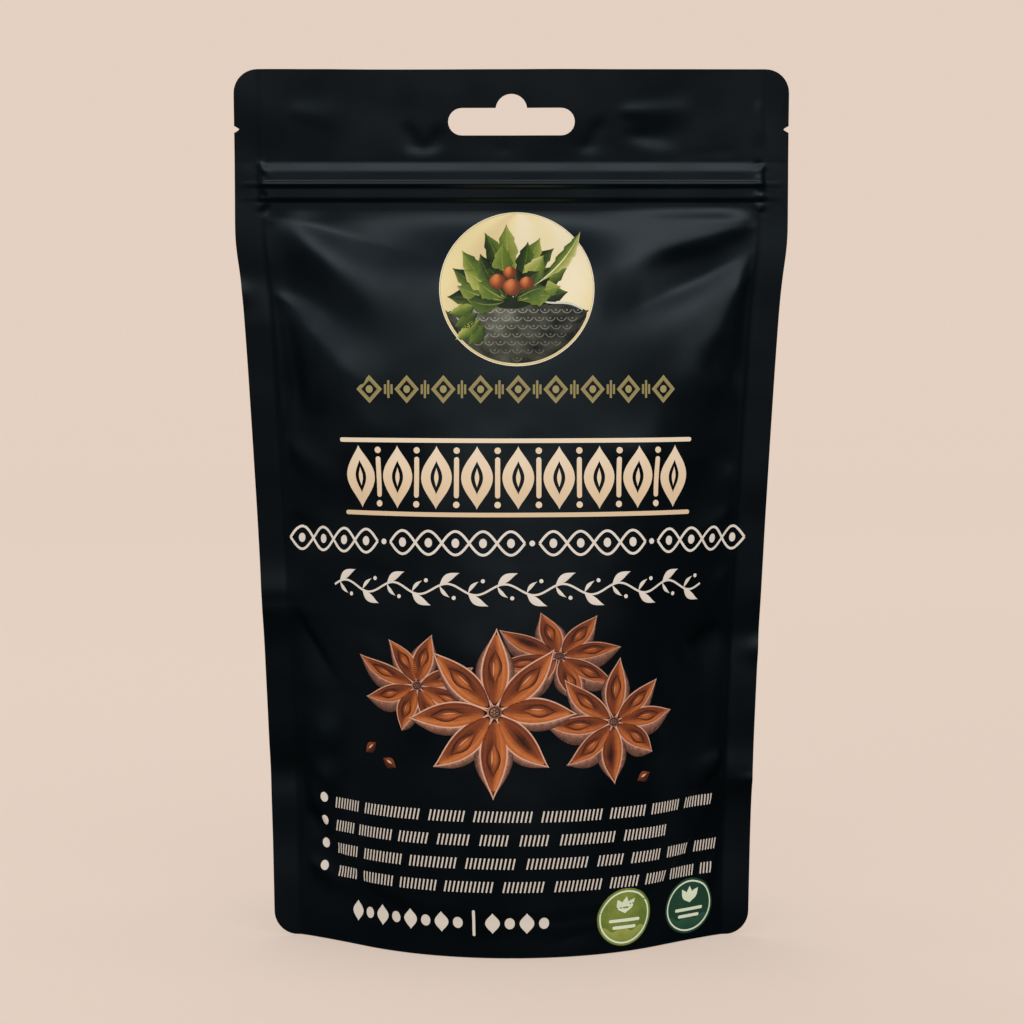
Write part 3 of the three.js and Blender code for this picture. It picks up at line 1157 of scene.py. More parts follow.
FRONT_FOLDS = (
    Fold((-58.9, 185.3), (-27.7, 151.3), 2.22, 4.7, 4.5, crisp=1.99, pinch=0.88),
    Fold((-64.5, 169.5), (-24.3, 148.6), -1.25, 10.0, 3.9, -0.4, tail=0.76, crisp=1.95, pinch=0.8),
    Fold((-64.8, 165.6), (-27.1, 134.7), 2.8, 7.1, 10, -1.4, start=0.36, tail=0.44, crisp=1.5, pinch=0.44),
    Fold((64.5, 182.3), (17.8, 168.2), 1.6, 10.0, 4.5, 1.0, tail=0.55),
    Fold((63, 175.8), (20.5, 156), -2.43, 4.1, 3, -1.8, start=0.44, tail=0.57, crisp=1.5, pinch=0.81),
    Fold((62.0, 175.8), (42.6, 134.5), 1.75, 6.2, 5.0, -1.3, start=0.28, tail=0.4, crisp=1.6, pinch=0.42),
    Fold((-53.1, 152.7), (-27.7, 119.7), 1.89, 6.9, 10, -2.3, start=0.39, tail=0.4, crisp=1.9, pinch=0.6),
    Fold((57.4, 154.0), (51.1, 139.6), -1.55, 3.0, 9.3, 0.6, start=0.54, tail=0.53, pinch=0.9),
    Fold((61, 80.5), (47, 73), -1.5, 1.8, 6.0, start=0.3, tail=0.4, crisp=1.6),
    Fold((-62.5, 84.2), (-40, 60), -1.3, 1.3, 3.4, -1.5, start=0.1, tail=0.8, crisp=1.3),
    Fold((-57, 55), (-44, 51), 1.3, 4.0, 4.0, start=0.5, tail=0.5),
    Fold((-58, 44), (-45, 40), 1.0, 3.5, 3.5, start=0.5, tail=0.5),
    Fold((-63, 34), (-47, 22), -0.6, 2.6, 4.0, crisp=1.8),
    Fold((-62, 20), (-40, 12), 0.7, 2.4, 3.4, crisp=1.8),
    Fold((64, 43), (42, 27), -0.9, 2.3, 3.6, 1.2, crisp=1.75),
    Fold((63, 47), (48, 42), 1.0, 2.4, 3.4, start=0.2),
    Fold((62, 22), (46, 6), 0.7, 2.4, 3.4, -1.0, crisp=1.7),
    Fold((63, 110), (40, 98), 0.9, 3.0, 4.5, crisp=1.6),
    Fold((63, 118), (48, 130), -0.8, 3.0, 4.0, crisp=1.6),
    Fold((63, 94), (52, 88), 0.7, 2.2, 3.0, crisp=1.5),
    Fold((-63, 128), (-38, 112), 0.9, 3.4, 4.6, crisp=1.6),
    Fold((-62, 108), (-46, 98), -0.8, 2.6, 3.6, crisp=1.5),
    Fold((-64.3, 137.2), (-51.1, 139.2), -1.6, 10.0, 6.2, 2.4, tail=0.64, crisp=1.7, pinch=0.85),
    Fold((-40, 80), (-26, 66), 0.5, 3.0, 4.0, start=0.4, tail=0.5, crisp=1.6),
    Fold((40, 62), (30, 48), 0.4, 3.0, 4.0, start=0.4, tail=0.5, crisp=1.6),
    Fold((-46, 96), (-22, 90), -0.45, 3.0, 4.5, start=0.4, tail=0.5),
    Fold((14.1, 128.6), (61.9, 120.2), 1.46, 7.6, 5, -0.7, start=0.49, tail=0.57, crisp=1.89, pinch=0.69),
    Fold((-20, 9), (22, 8), 0.25, 2.2, 2.6, start=0.5, tail=0.5),
    Fold((8, 3.5), (24, 6.5), -0.35, 1.3, 2.2, start=0.5, tail=0.5, crisp=1.5),
    Fold((64.5, 181.0), (59, 179.6), 0.55, 0.9, 0.8, start=0.1, crisp=1.4),
    Fold((64.5, 174.6), (59.5, 172.6), 0.5, 0.9, 0.8, start=0.1, crisp=1.4),
    Fold((-64.5, 182.8), (-59, 181.6), 0.35, 0.9, 0.9, start=0.1, crisp=1.4),
    Fold((-62.1, 183.7), (-12.1, 168.8), -1.14, 3, 7.1, 0.8, start=0.26, tail=0.4, crisp=1.51, pinch=0.62),
    Fold(
        (-64.5, 164.1), (-54.2, 145.5), -1.26, 9.5, 4.7, -2.1, start=0.38, tail=0.61, crisp=1.99, pinch=0.71
    ),
    Fold((56.0, 173.9), (16.8, 164.4), -2.51, 7.7, 9.6, start=0.5, tail=0.45, crisp=1.99, pinch=0.47),
    Fold((63.3, 152.8), (31.4, 126.2), 1.14, 7.0, 6.2, start=0.32, tail=0.75, pinch=0.62),
    Fold((-65.0, 165.4), (-50.0, 157.0), 0.6, 1.3, 2.4, start=0.12, tail=0.85, crisp=1.3, pinch=0.25),
    Fold((65.0, 173.4), (55.0, 160.0), 0.6, 1.3, 2.2, start=0.12, tail=0.85, crisp=1.3, pinch=0.25),
)
HEADER_FOLDS = (
    Fold((-27, 208), (-22.5, 196), -0.55, 1.8, 2.2, start=0.4, tail=0.25, crisp=1.5),
    Fold((-17, 207), (-22, 196), -0.5, 2.0, 1.8, start=0.4, tail=0.25, crisp=1.5),
    Fold((23.5, 209), (17.5, 197), -0.55, 1.6, 2.4, start=0.3, tail=0.3, crisp=1.5),
    Fold((27, 203.5), (44, 203), -0.5, 2.6, 2.2, start=0.4, tail=0.4),
    Fold((26, 209.5), (47, 209.5), 0.4, 2.2, 2.4, start=0.2, tail=0.2),
    Fold((40, 198), (58, 198), -0.45, 1.2, 1.4, start=0.3, tail=0.3),
    Fold((0, 201), (-3, 197), -0.25, 2.2, 2.2, start=0.4, tail=0.4),
    Fold((-58, 210), (-40, 207), 0.25, 3.0, 2.6, start=0.3, tail=0.4),
    Fold((62, 213), (63, 200), 0.3, 1.4, 1.6, start=0.3, tail=0.4),
)
BACK_FOLDS = (
    Fold((-61, 182), (-26, 158), -2.2, 5, 5),
    Fold((-62, 172), (-42, 140), 1.8, 5, 6),
    Fold((61, 183), (32, 152), -2.0, 5, 5, start=0.4),
    Fold((62, 170), (40, 146), 1.4, 5, 6, start=0.5, tail=0.5),
    Fold((62, 84), (40, 68), -1.5, 4, 4),
    Fold((-62, 62), (-40, 70), -1.6, 3.5, 4),
)
WELD_KINKS = (
    Kink(-1, 166, 0.5, 6),
    Kink(-1, 164.0, -0.75, 3.2, 3.0, rim=True),
    Kink(-1, 86, -1.2, 7),
    Kink(-1, 85.6, 0.25, 1.4, 5.0),
    Kink(-1, 42, 1.0, 6),
    Kink(-1, 0, -3.0, 22),
    Kink(1, 172, -0.25, 7),
    Kink(1, 76, 1.2, 7),
    Kink(1, 73.0, -1.1, 3.0, 3.2, rim=True),
    Kink(1, 41, -1.0, 6),
    Kink(1, 39.5, -0.6, 1.6, 3.5, rim=True),
    Kink(1, 0, -3.0, 22),
)


# --------------------------------------------------------------------------------------------------
# Printed shapes
# --------------------------------------------------------------------------------------------------

Tone = Callable[[Array, Array], Array]
# How pointed the ends of a leaf are, and where a tooth of its edge begins and how far it falls, as shares.
LEAF_POINT = 1.25
TOOTH_CREST = 1.08
TOOTH_DEPTH = 0.3


def even_tone(value: float) -> Tone:
    """The same tone all over."""
    return lambda t, s: np.full_like(t, value)


def slope_tone(left: float, right: float, tip: float = 0.0) -> Tone:
    """A tone that runs from one edge of a shape to the other, and changes by tip towards its far end."""
    return lambda t, s: left + (right - left) * (s + 1) / 2 + tip * t


def dimmed(tone: Tone, share: float) -> Tone:
    """A tone scaled by a share."""
    return lambda t, s: share * tone(t, s)


@dataclass(frozen=True)
class Patch:
    """A printed shape between two edge lines with equally many points, which meet where it is pointed."""

    left: Array
    right: Array
    tone: Tone = even_tone(0.5)
    layer: int = 0
    across: int = 1

    def grid(self) -> tuple[Array, Array]:
        """The places and tones of its vertices, by step along and then across.

        Returns:
            The places, and the tones from 0 to 1.
        """
        steps = len(self.left)
        t, s = np.meshgrid(np.linspace(0, 1, steps), np.linspace(-1, 1, self.across + 1), indexing="ij")
        share = ((s + 1) / 2)[:, :, None]
        places = self.left[:, None, :] * (1 - share) + self.right[:, None, :] * share
        return places, np.clip(self.tone(t, s), 0, 1)


def along(points: Sequence[Point], step: float) -> Array:
    """Places at equal steps of about the given length along a line of points.

    Args:
        points: The line's points.
        step: About how far apart the places lie.

    Returns:
        The places.
    """
    line = np.asarray(points, float)
    lengths = np.linalg.norm(np.diff(line, axis=0), axis=1)
    total = np.concatenate([[0], np.cumsum(lengths)])
    at = np.linspace(0, total[-1], max(int(math.ceil(total[-1] / step)), 2) + 1)
    return np.stack([np.interp(at, total, line[:, 0]), np.interp(at, total, line[:, 1])], axis=1)


def sideways(line: Array) -> Array:
    """The unit vectors that point to the left of a line, at each of its points."""
    run = np.gradient(line, axis=0)
    run = run / np.linalg.norm(run, axis=1, keepdims=True)
    return np.stack([-run[:, 1], run[:, 0]], axis=1)


def stroke(points: Sequence[Point], width: float, step: float = 0.9, **looks: object) -> Patch:
    """A line of even width with flat ends.

    Args:
        points: The line's points.
        width: Its width.
        step: The length of one step.
        looks: The patch's tone, layer and number of steps across.

    Returns:
        The patch.
    """
    line = along(points, step)
    half = sideways(line) * width / 2
    return Patch(line + half, line - half, **looks)


def pill(start: Point, end: Point, width: float, step: float = 1.2, **looks: object) -> Patch:
    """A straight bar with round ends.

    Args:
        start: One end of the bar.
        end: The other end.
        width: Its width.
        step: The length of one step.
        looks: The patch's tone, layer and number of steps across.

    Returns:
        The patch.
    """
    radius, reach = width / 2, math.dist(start, end) - width
    count = int(reach / step)
    cap = np.linspace(0, math.pi / 2, 6)
    middle = np.linspace(radius, radius + reach, count + 2)[1:-1]
    places = np.concatenate([radius * (1 - np.cos(cap)), middle, radius + reach + radius * np.sin(cap)])
    halves = np.concatenate([radius * np.sin(cap), np.full(count, radius), radius * np.cos(cap)])
    run = (np.asarray(end, float) - start) / math.dist(start, end)
    line = np.asarray(start, float) + np.outer(places, run)
    half = np.outer(halves, (-run[1], run[0]))
    return Patch(line + half, line - half, **looks)


def disc(centre: Point, half_u: float, half_z: float, steps: int, **looks: object) -> Patch:
    """A filled ellipse.

    Args:
        centre: Its middle.
        half_u: Half its width.
        half_z: Half its height.
        steps: Steps from its top to its foot.
        looks: The patch's tone, layer and number of steps across.

    Returns:
        The patch.
    """
    turns = np.linspace(math.pi / 2, -math.pi / 2, steps + 1)
    half, level = half_u * np.cos(turns), centre[1] + half_z * np.sin(turns)
    left, right = (np.stack([centre[0] + way * half, level], axis=1) for way in (-1, 1))
    return Patch(left, right, **looks)


def lozenge(centre: Point, half_u: float, half_z: float) -> Array:
    """The closed outline of a lozenge, from its left corner."""
    ways = ((-1, 0), (0, 1), (1, 0), (0, -1), (-1, 0))
    return np.array([(centre[0] + a * half_u, centre[1] + b * half_z) for a, b in ways])


def ring(centre: Point, half_u: float, half_z: float, width: float, steps: int, **looks: object) -> Patch:
    """A line round an ellipse, on its inner side.

    Args:
        centre: Its middle.
        half_u: Half its width.
        half_z: Half its height.
        width: The line's width.
        steps: Steps round it.
        looks: The patch's tone, layer and number of steps across.

    Returns:
        The patch.
    """
    turns = np.linspace(0, 2 * math.pi, steps + 1)
    way = np.stack([np.cos(turns), np.sin(turns)], axis=1)
    return Patch(centre + way * (half_u, half_z), centre + way * (half_u - width, half_z - width), **looks)


def almond(
    root: Point,
    tip: Point,
    width: float,
    bow: float,
    belly: float,
    steps: int,
    teeth: int = 0,
    **looks: object,
) -> Patch:
    """A pointed leaf or petal.

    Args:
        root: Where it starts.
        tip: Where it ends.
        width: Its greatest width.
        bow: How far its middle bends to the left of its run.
        belly: How far along it is widest.
        steps: Steps along it.
        teeth: The number of notches in each edge.
        looks: The patch's tone, layer and number of steps across.

    Returns:
        The patch.
    """
    start, run = np.asarray(root, float), np.asarray(tip, float) - root
    side = np.array([-run[1], run[0]]) / np.linalg.norm(run)
    steps = max(steps, 4 * teeth)
    t = np.linspace(0, 1, steps + 1)
    line = start + t[:, None] * run + np.outer(bow * 4 * t * (1 - t), side)
    power = math.log(0.5) / math.log(belly)
    half = width / 2 * np.sin(math.pi * t**power) ** LEAF_POINT
    if teeth:
        half = half * (TOOTH_CREST - TOOTH_DEPTH * ((t * teeth) % 1.0))
    half = np.outer(half, side)
    return Patch(line + half, line - half, **looks)


@dataclass
class PrintedPiece:
    """Shapes in one ink on the front of the pack, as one thin film of closed slabs."""

    name: str
    slot: str
    patches: list[Patch] = field(default_factory=list)
    sunk: float = 0.05
    first: float = 0.07
    layer_step: float = 0.006
    merge: float = 0.004
    sliver: float = 0.0001

    def add(self, *patches: Patch) -> None:
        """Adds shapes."""
        self.patches.extend(patches)

    def build(self, form: PackForm, material: bpy.types.Material) -> bpy.types.Object:
        """Wraps the shapes round the front of the pack.

        Args:
            form: The pack's form.
            material: The ink.

        Returns:
            The piece.
        """
        bm = bmesh.new()
        shade = bm.verts.layers.float.new("tone")
        for patch in self.patches:
            places, tones = patch.grid()
            rows, columns = tones.shape
            made = bmesh.ops.create_grid(bm, x_segments=columns - 1, y_segments=rows - 1, size=1.0)["verts"]
            proud = self.first + self.layer_step * patch.layer
            for vert in made:
                column, row = grid_step(vert.co.x, columns - 1), grid_step(vert.co.y, rows - 1)
                u, z = places[row, column]
                vert.co = Vector((u, -proud, z))
                vert[shade] = tones[row, column]
        bmesh.ops.remove_doubles(bm, verts=bm.verts, dist=self.merge)
        bmesh.ops.dissolve_degenerate(bm, dist=self.sliver, edges=bm.edges)
        low = bmesh.ops.extrude_face_region(bm, geom=bm.faces[:])["geom"]
        for item in low:
            if isinstance(item, bmesh.types.BMVert):
                item.co.y = self.sunk
        bmesh.ops.recalc_face_normals(bm, faces=bm.faces)
        flat = flat_places(bm)
        points = form.place(Side.FRONT, flat[:, 0], flat[:, 2], -flat[:, 1])
        piece = to_object(self.name, bm, points, material)
        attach(piece, BODY)
        return piece


# --------------------------------------------------------------------------------------------------
# The print
# --------------------------------------------------------------------------------------------------


def turned(centre: Point, angle: float, reach: float, squash: float = 1.0) -> Point:
    """A place at an angle in degrees and a distance from a centre, with heights squashed."""
    turn = math.radians(angle)
    return centre[0] + reach * math.cos(turn), centre[1] + squash * reach * math.sin(turn)


# The leaves of the emblem, from the back of the fan to its front: angle in degrees, length and tone.
LEAF_FAN = (
    *((6, 14.5, 0.3), (174, 16.0, 0.25), (28, 16.5, 0.55), (150, 17.0, 0.35), (47, 17.5, 0.3)),
    *((131, 18.0, 0.6), (66, 18.0, 0.65), (112, 19.0, 0.4), (89, 20.0, 0.7), (18, 13.0, 0.7)),
    *((161, 14.0, 0.6), (76, 16.0, 0.35), (38, 13.5, 0.2), (141, 14.5, 0.75), (57, 14.5, 0.75)),
    *((122, 14.5, 0.3), (100, 15.0, 0.62), (172, 10.5, 0.4), (8, 10.0, 0.55), (28, 9.5, 0.4)),
    *((152, 9.5, 0.55), (50, 10.5, 0.3), (128, 10.5, 0.25), (88, 9.0, 0.2)),
)
LOW_LEAVES = ((184, 14.0, 0.5), (197, 13.5, 0.25), (208, 15.0, 0.6), (219, 13.0, 0.3))


@dataclass
class Emblem:
    """A round emblem: leaves and fruits over a patterned hill on a pale field."""

    centre: Point = (1.4, 164.8)
    radius: float = 19.4
    seed: int = 4

    def field_piece(self) -> PrintedPiece:
        """The pale round field and its rim.

        Returns:
            The piece.
        """
        piece = PrintedPiece("emblem_field", "cream_ink")

        def glow(t: Array, s: Array) -> Array:
            """Cream at the upper left and the right, with yellow clouds between."""
            cream = 0.42 * gauss((t - 0.3) / 0.5) * gauss((s - 0.5) / 0.8)
            return 0.36 + cream + 0.14 * np.sin(7 * s + 5 * t)

        piece.add(disc(self.centre, self.radius - 0.3, self.radius - 0.3, 60, tone=glow, across=44))
        piece.add(ring(self.centre, self.radius, self.radius, 0.24, 96, tone=even_tone(0.9), layer=9))
        return piece

    def hill_piece(self) -> PrintedPiece:
        """A grey hill in the lower half, with rows of scales.

        Returns:
            The piece.
        """
        piece = PrintedPiece("emblem_hill", "green_ink")
        inner = self.radius - 0.7
        reach = inner * 0.957
        places = np.linspace(-reach, reach, 48)
        crest = -2.2 - 3.6 * (places / reach) ** 2 + 0.5 * np.sin(places * 0.5 + 1)
        base = -np.sqrt(np.maximum(inner**2 - places**2, 0))
        crest = np.maximum(crest, base)

        def stone(t: Array, s: Array) -> Array:
            """Light at the upper left, and dark at the right and the foot."""
            light = 0.34 * gauss((t - 0.32) / 0.3) * (0.7 - 0.4 * s)
            return 0.07 + light + 0.05 * np.sin(23 * t + 5 * s) + 0.05 * np.sin(9 * s - 31 * t)

        top, foot = (np.stack([places, line], axis=1) + self.centre for line in (crest, base))
        piece.add(Patch(top, foot, tone=stone, layer=1, across=24))
        piece.add(stroke(top[2:-2] - (0, 0.25), 0.45, tone=even_tone(0.9), layer=4))
        rows, row_step, scale_step, scale_radius = 7, 2.0, 2.75, 1.2
        for row in range(rows):
            height = -5.0 - row_step * row
            count = int(math.sqrt(max(inner**2 - (height - 1.6) ** 2, 0)) / 1.45)
            for k in range(count):
                u = (k - (count - 1) / 2) * scale_step
                eye = (self.centre[0] + u, self.centre[1] + height)
                tone = even_tone(0.72 - 0.01 * u + 0.022 * height)
                piece.add(stroke(arc(eye, scale_radius, 195, 345, 8), 0.24, 0.35, tone=tone, layer=2))
                piece.add(disc(turned(eye, 270, 0.45), 0.22, 0.22, 6, tone=tone, layer=2, across=4))
        return piece

    def leaf_piece(self) -> PrintedPiece:
        """The fan of leaves that rises over the hill.

        Returns:
            The piece.
        """
        piece = PrintedPiece("emblem_leaves", "green_ink")
        rng = np.random.default_rng(self.seed)
        root = (self.centre[0] - 1.5, self.centre[1] - 3.6)
        piece.add(disc(turned(root, 90, 1.8), 6.6, 3.4, 20, tone=even_tone(0.1), layer=5, across=10))
        for number, (angle, length, light) in enumerate(LEAF_FAN):
            start = turned(root, angle, 1.5)
            tip = turned(root, angle + float(rng.uniform(-5, 5)), length)
            bow = float(rng.uniform(-1.3, 1.3))
            layer = 3 + number * 2
            dusk = 0.75 * float(rng.uniform(0.1, 0.3)) * (1 if rng.uniform() < 0.5 else -1)
            shade = slope_tone(0.55 * light + dusk, 0.55 * light - dusk, 0.36 * light)
            leaf = almond(start, tip, 4.4 + light, bow, 0.62, 20, teeth=5, tone=shade, layer=layer, across=6)
            vein_tone = even_tone(0.3 + 0.6 * light)
            piece.add(leaf, almond(start, tip, 0.3, bow, 0.35, 12, tone=vein_tone, layer=layer + 1))
        u, z = self.centre
        blade, blade_tone = ((u + 4.0, z + 0.5), (u + 16.0, z + 14.5)), slope_tone(0.26, 0.78, 0.1)
        piece.add(almond(*blade, 3.6, -1.4, 0.6, 26, teeth=6, tone=blade_tone, layer=53, across=6))
        piece.add(almond(*blade, 0.35, -1.4, 0.35, 18, tone=even_tone(0.95), layer=54))
        for angle, length, light in LOW_LEAVES:
            start = turned(root, angle, 8.5)
            tip = turned(root, angle + 6, length + 1.8)
            shade = slope_tone(0.2, light + 0.15, 0.1)
            piece.add(almond(start, tip, 3.6, 0.5, 0.5, 16, teeth=4, tone=shade, layer=5, across=5))
        return piece

    def fruit_piece(self) -> PrintedPiece:
        """The fruits between the leaves.

        Returns:
            The piece.
        """
        piece = PrintedPiece("emblem_fruits", "brown_ink")

        def ball(t: Array, s: Array) -> Array:
            """Light at the upper left."""
            return 0.36 + 0.46 * gauss((t - 0.3) / 0.4) * gauss((s + 0.3) / 0.7)

        fruits = ((-4.8, 1.6, 2.1), (-1.2, 0.2, 2.3), (2.4, 1.2, 1.8), (-1.8, 3.9, 1.7))
        for number, (off_u, off_z, size) in enumerate(fruits):
            middle = (self.centre[0] + off_u, self.centre[1] + off_z)
            piece.add(disc(middle, size, size * 0.92, 14, tone=ball, layer=55 + number, across=10))
        return piece


@dataclass(frozen=True)
class Bands:
    """The ornaments that stand for the lines of the label."""

    middle: float = 1.7

    def gold_row(self) -> PrintedPiece:
        """A row of lozenges and reels in gold.

        Returns:
            The piece.
        """
        piece = PrintedPiece("gold_row", "gold_ink")
        height, pitch, count = 139.7, 9.3, 9
        outer, inner = (3.1, 3.5), (1.9, 2.15)
        reels = ((3.85, 2.4), (4.65, 4.4), (5.45, 2.4))
        for k in range(count):
            u = self.middle + (k - (count - 1) / 2) * pitch
            eye = (u, height)
            piece.add(Patch(lozenge(eye, *outer), lozenge(eye, *inner), tone=slope_tone(0.7, 0.45)))
            piece.add(disc(eye, 0.85, 0.95, 10, tone=even_tone(0.75), across=6))
            for off, tall in reels if k < count - 1 else ():
                ends = ((u + off, height - tall / 2), (u + off, height + tall / 2))
                piece.add(stroke(ends, 0.55, tone=slope_tone(0.45, 0.7)))
        return piece

    def title(self) -> PrintedPiece:
        """A tall frieze of petals between two rules.

        Returns:
            The piece.
        """
        piece = PrintedPiece("title_frieze", "cream_ink")
        foot, head = 108.3, 127.6
        left, right = self.middle - 45.6, self.middle + 45.6

        def sheen(t: Array, s: Array) -> Array:
            """Lighter upwards."""
            return 0.35 + 0.4 * t

        for height, tone in ((foot + 0.55, 0.35), (head - 0.55, 0.75)):
            piece.add(pill((left, height), (right, height), 1.1, tone=even_tone(tone), across=2))
        count = 9
        pitch = (right - left) / count
        for k in range(count):
            u = left + (k + 0.5) * pitch
            low, high = foot + 1.9, head - 1.9
            outer = almond((u, low), (u, high), 7.8, 0, 0.5, 26)
            inner = almond((u, low + 3.6), (u, high - 3.6), 3.0, 0, 0.5, 26)
            piece.add(Patch(outer.left, inner.left, tone=sheen, across=3))
            piece.add(Patch(inner.right, outer.right, tone=sheen, across=3))
            piece.add(almond((u, low + 5.4), (u, high - 5.4), 1.1, 0, 0.5, 10, tone=even_tone(0.6), across=2))
            if k:
                edge = u - pitch / 2
                piece.add(pill((edge, foot + 4.6), (edge, head - 4.6), 1.25, tone=sheen, across=2))
                for height in (foot + 3.0, head - 3.0):
                    piece.add(disc((edge, height), 0.8, 0.8, 8, tone=even_tone(0.6), across=6))
        return piece

    def chain(self) -> PrintedPiece:
        """A long chain of two crossing waves.

        Returns:
            The piece.
        """
        piece = PrintedPiece("chain_line", "cream_ink")
        height, pitch, rise = 101.9, 6.8, 2.9
        groups = (4, 5, 4, 4)
        gap = 3.6
        total = sum(groups) * pitch + gap * (len(groups) - 1)
        start = self.middle - total / 2
        for number, count in enumerate(groups):
            steps = count * 16
            for way, layer in ((1, 0), (-1, 1)):
                i = np.arange(steps + 1)
                wave = height + way * rise * np.sin(math.pi * i / 16)
                line = np.stack([start + count * pitch * i / steps, wave], axis=1)
                piece.add(stroke(line, 0.62, 0.5, tone=even_tone(0.72 - 0.1 * layer), layer=layer))
            for k in range(count):
                eye = (start + (k + 0.5) * pitch, height)
                piece.add(disc(eye, 0.95, 1.15, 10, tone=even_tone(0.6), across=6))
            start += count * pitch + gap
            if number < len(groups) - 1:
                piece.add(disc((start - gap / 2, height), 0.7, 0.7, 8, tone=even_tone(0.7), across=6))
        return piece

    def scroll(self) -> PrintedPiece:
        """A vine with slanting leaves.

        Returns:
            The piece.
        """
        piece = PrintedPiece("vine_line", "cream_ink")
        height, pitch, rise = 90.6, 14.2, 1.35
        count = 7
        start = 2.0 - count * pitch / 2
        i = np.arange(count * 16 + 1)
        line = np.stack([start + pitch * i / 16, height + rise * np.sin(math.pi * i / 8)], axis=1)
        piece.add(stroke(line, 0.5, 0.6, tone=even_tone(0.6)))
        for k in range(2 * count):
            side = 1 if k % 2 == 0 else -1
            u = start + pitch * (k / 2 + 0.12)
            base = (u, height + rise * math.sin(2 * math.pi * (u - start) / pitch))
            tip = (base[0] + 5.0, base[1] + side * 3.1)
            shade = slope_tone(0.75, 0.5)
            piece.add(almond(base, tip, 1.9, 0.5 * side, 0.45, 12, tone=shade, layer=1, across=3))
            other = (base[0] + 2.6, base[1] - side * 2.9)
            piece.add(almond(base, other, 0.9, -0.4 * side, 0.5, 10, tone=shade, layer=2, across=2))
            piece.add(disc((base[0] + 3.6, base[1] - side * 3.0), 0.5, 0.5, 8, tone=even_tone(0.7), across=4))
        return piece

    def bullets(self) -> PrintedPiece:
        """Four dots, each with a row of short bars.

        Returns:
            The piece.
        """
        piece = PrintedPiece("bullet_rows", "cream_ink")
        rng = np.random.default_rng(8)
        # Each dot's place, then the end of its row of bars and the row's height.
        rows = (
            ((-53.4, 36.1), 59.6, 35.2),
            ((-53.7, 30.2), 42.0, 29.4),
            ((-54.1, 24.3), 61.0, 23.6),
            ((-54.4, 18.6), 59.8, 17.8),
        )
        bar_step, bar_lean, bar_height, word_gap = 1.02, 0.55, 2.7, 1.5
        for dot, end, height in rows:
            piece.add(disc(dot, 1.3, 1.25, 12, tone=even_tone(0.6), across=8))
            u = -49.4
            while u < end - 3:
                length = min(float(rng.uniform(6.0, 17.0)), end - u)
                if end - u - length < 5:
                    length = end - u
                for k in range(int(length / bar_step)):
                    foot = (u + bar_step * k, height - bar_height / 2)
                    head = (foot[0] + bar_lean, foot[1] + bar_height)
                    piece.add(stroke((foot, head), 0.4, 1.4, tone=even_tone(0.35)))
                u += length + word_gap
        return piece

    def weight(self) -> PrintedPiece:
        """Two rows of bold beads with an upright between them.

        Returns:
            The piece.
        """
        piece = PrintedPiece("weight_row", "cream_ink")
        height, pitch = 8.7, 4.2
        for start, count in ((-42.6, 8), (-4.6, 4)):
            for k in range(count):
                u = start + pitch * k
                if k % 2:
                    piece.add(disc((u, height), 1.25, 1.4, 10, tone=even_tone(0.45), across=8))
                else:
                    ends = ((u, height - 2.6), (u, height + 2.6))
                    piece.add(almond(*ends, 3.6, 0, 0.5, 14, tone=even_tone(0.5), across=4))
        piece.add(pill((-9.2, 5.4), (-9.2, 12.0), 0.7, tone=even_tone(0.55), across=2))
        return piece


@dataclass(frozen=True)
class Badge:
    """A small round badge with a rim, a sprig and two bars."""

    name: str
    centre: Point
    half_u: float
    half_z: float
    field_tone: float
    mark_tone: float

    def field_patches(self) -> Iterable[Patch]:
        """The badge's field, with lighter hills at its foot.

        Returns:
            The patches, from the lowest up.
        """
        base_tone = self.field_tone

        def ground(t: Array, s: Array) -> Array:
            """Lighter upwards and to the left."""
            return base_tone + 0.1 * gauss((t - 0.3) / 0.35) * gauss((s + 0.2) / 0.7)

        yield disc(self.centre, self.half_u, self.half_z, 24, tone=ground, across=16)
        u, z = self.centre
        places = np.linspace(-0.84, 0.84, 25)
        crest = -0.42 + 0.09 * np.cos(places * 9 + 0.6)
        base = -np.sqrt(1 - places**2) + 0.02
        top = np.stack([u + self.half_u * places, z + self.half_z * crest], axis=1)
        foot = np.stack([u + self.half_u * places, z + self.half_z * np.minimum(base, crest)], axis=1)
        yield Patch(top, foot, tone=slope_tone(base_tone + 0.2, base_tone + 0.06), layer=1, across=6)

    def mark_patches(self) -> Iterable[Patch]:
        """The rim and what stands on the field.

        Returns:
            The patches.
        """
        u, z = self.centre
        tone = even_tone(self.mark_tone)
        inset = 0.55
        yield ring(self.centre, self.half_u - inset, self.half_z - inset, 0.42, 60, tone=tone, layer=3)
        wide, tall = self.half_u, self.half_z
        root = (u, z + tall * 0.12)
        for angle in (58, 90, 122):
            turn = math.radians(angle)
            tip = (u + wide * 0.62 * math.cos(turn), root[1] + tall * 0.6 * math.sin(turn))
            yield almond(root, tip, 1.9, 0.15, 0.55, 12, tone=tone, layer=3, across=2)
        for height, reach in ((-0.12, 0.58), (-0.36, 0.44)):
            ends = ((u - wide * reach, z + tall * height), (u + wide * reach, z + tall * height))
            yield pill(*ends, 0.8, 0.8, tone=tone, layer=3, across=2)


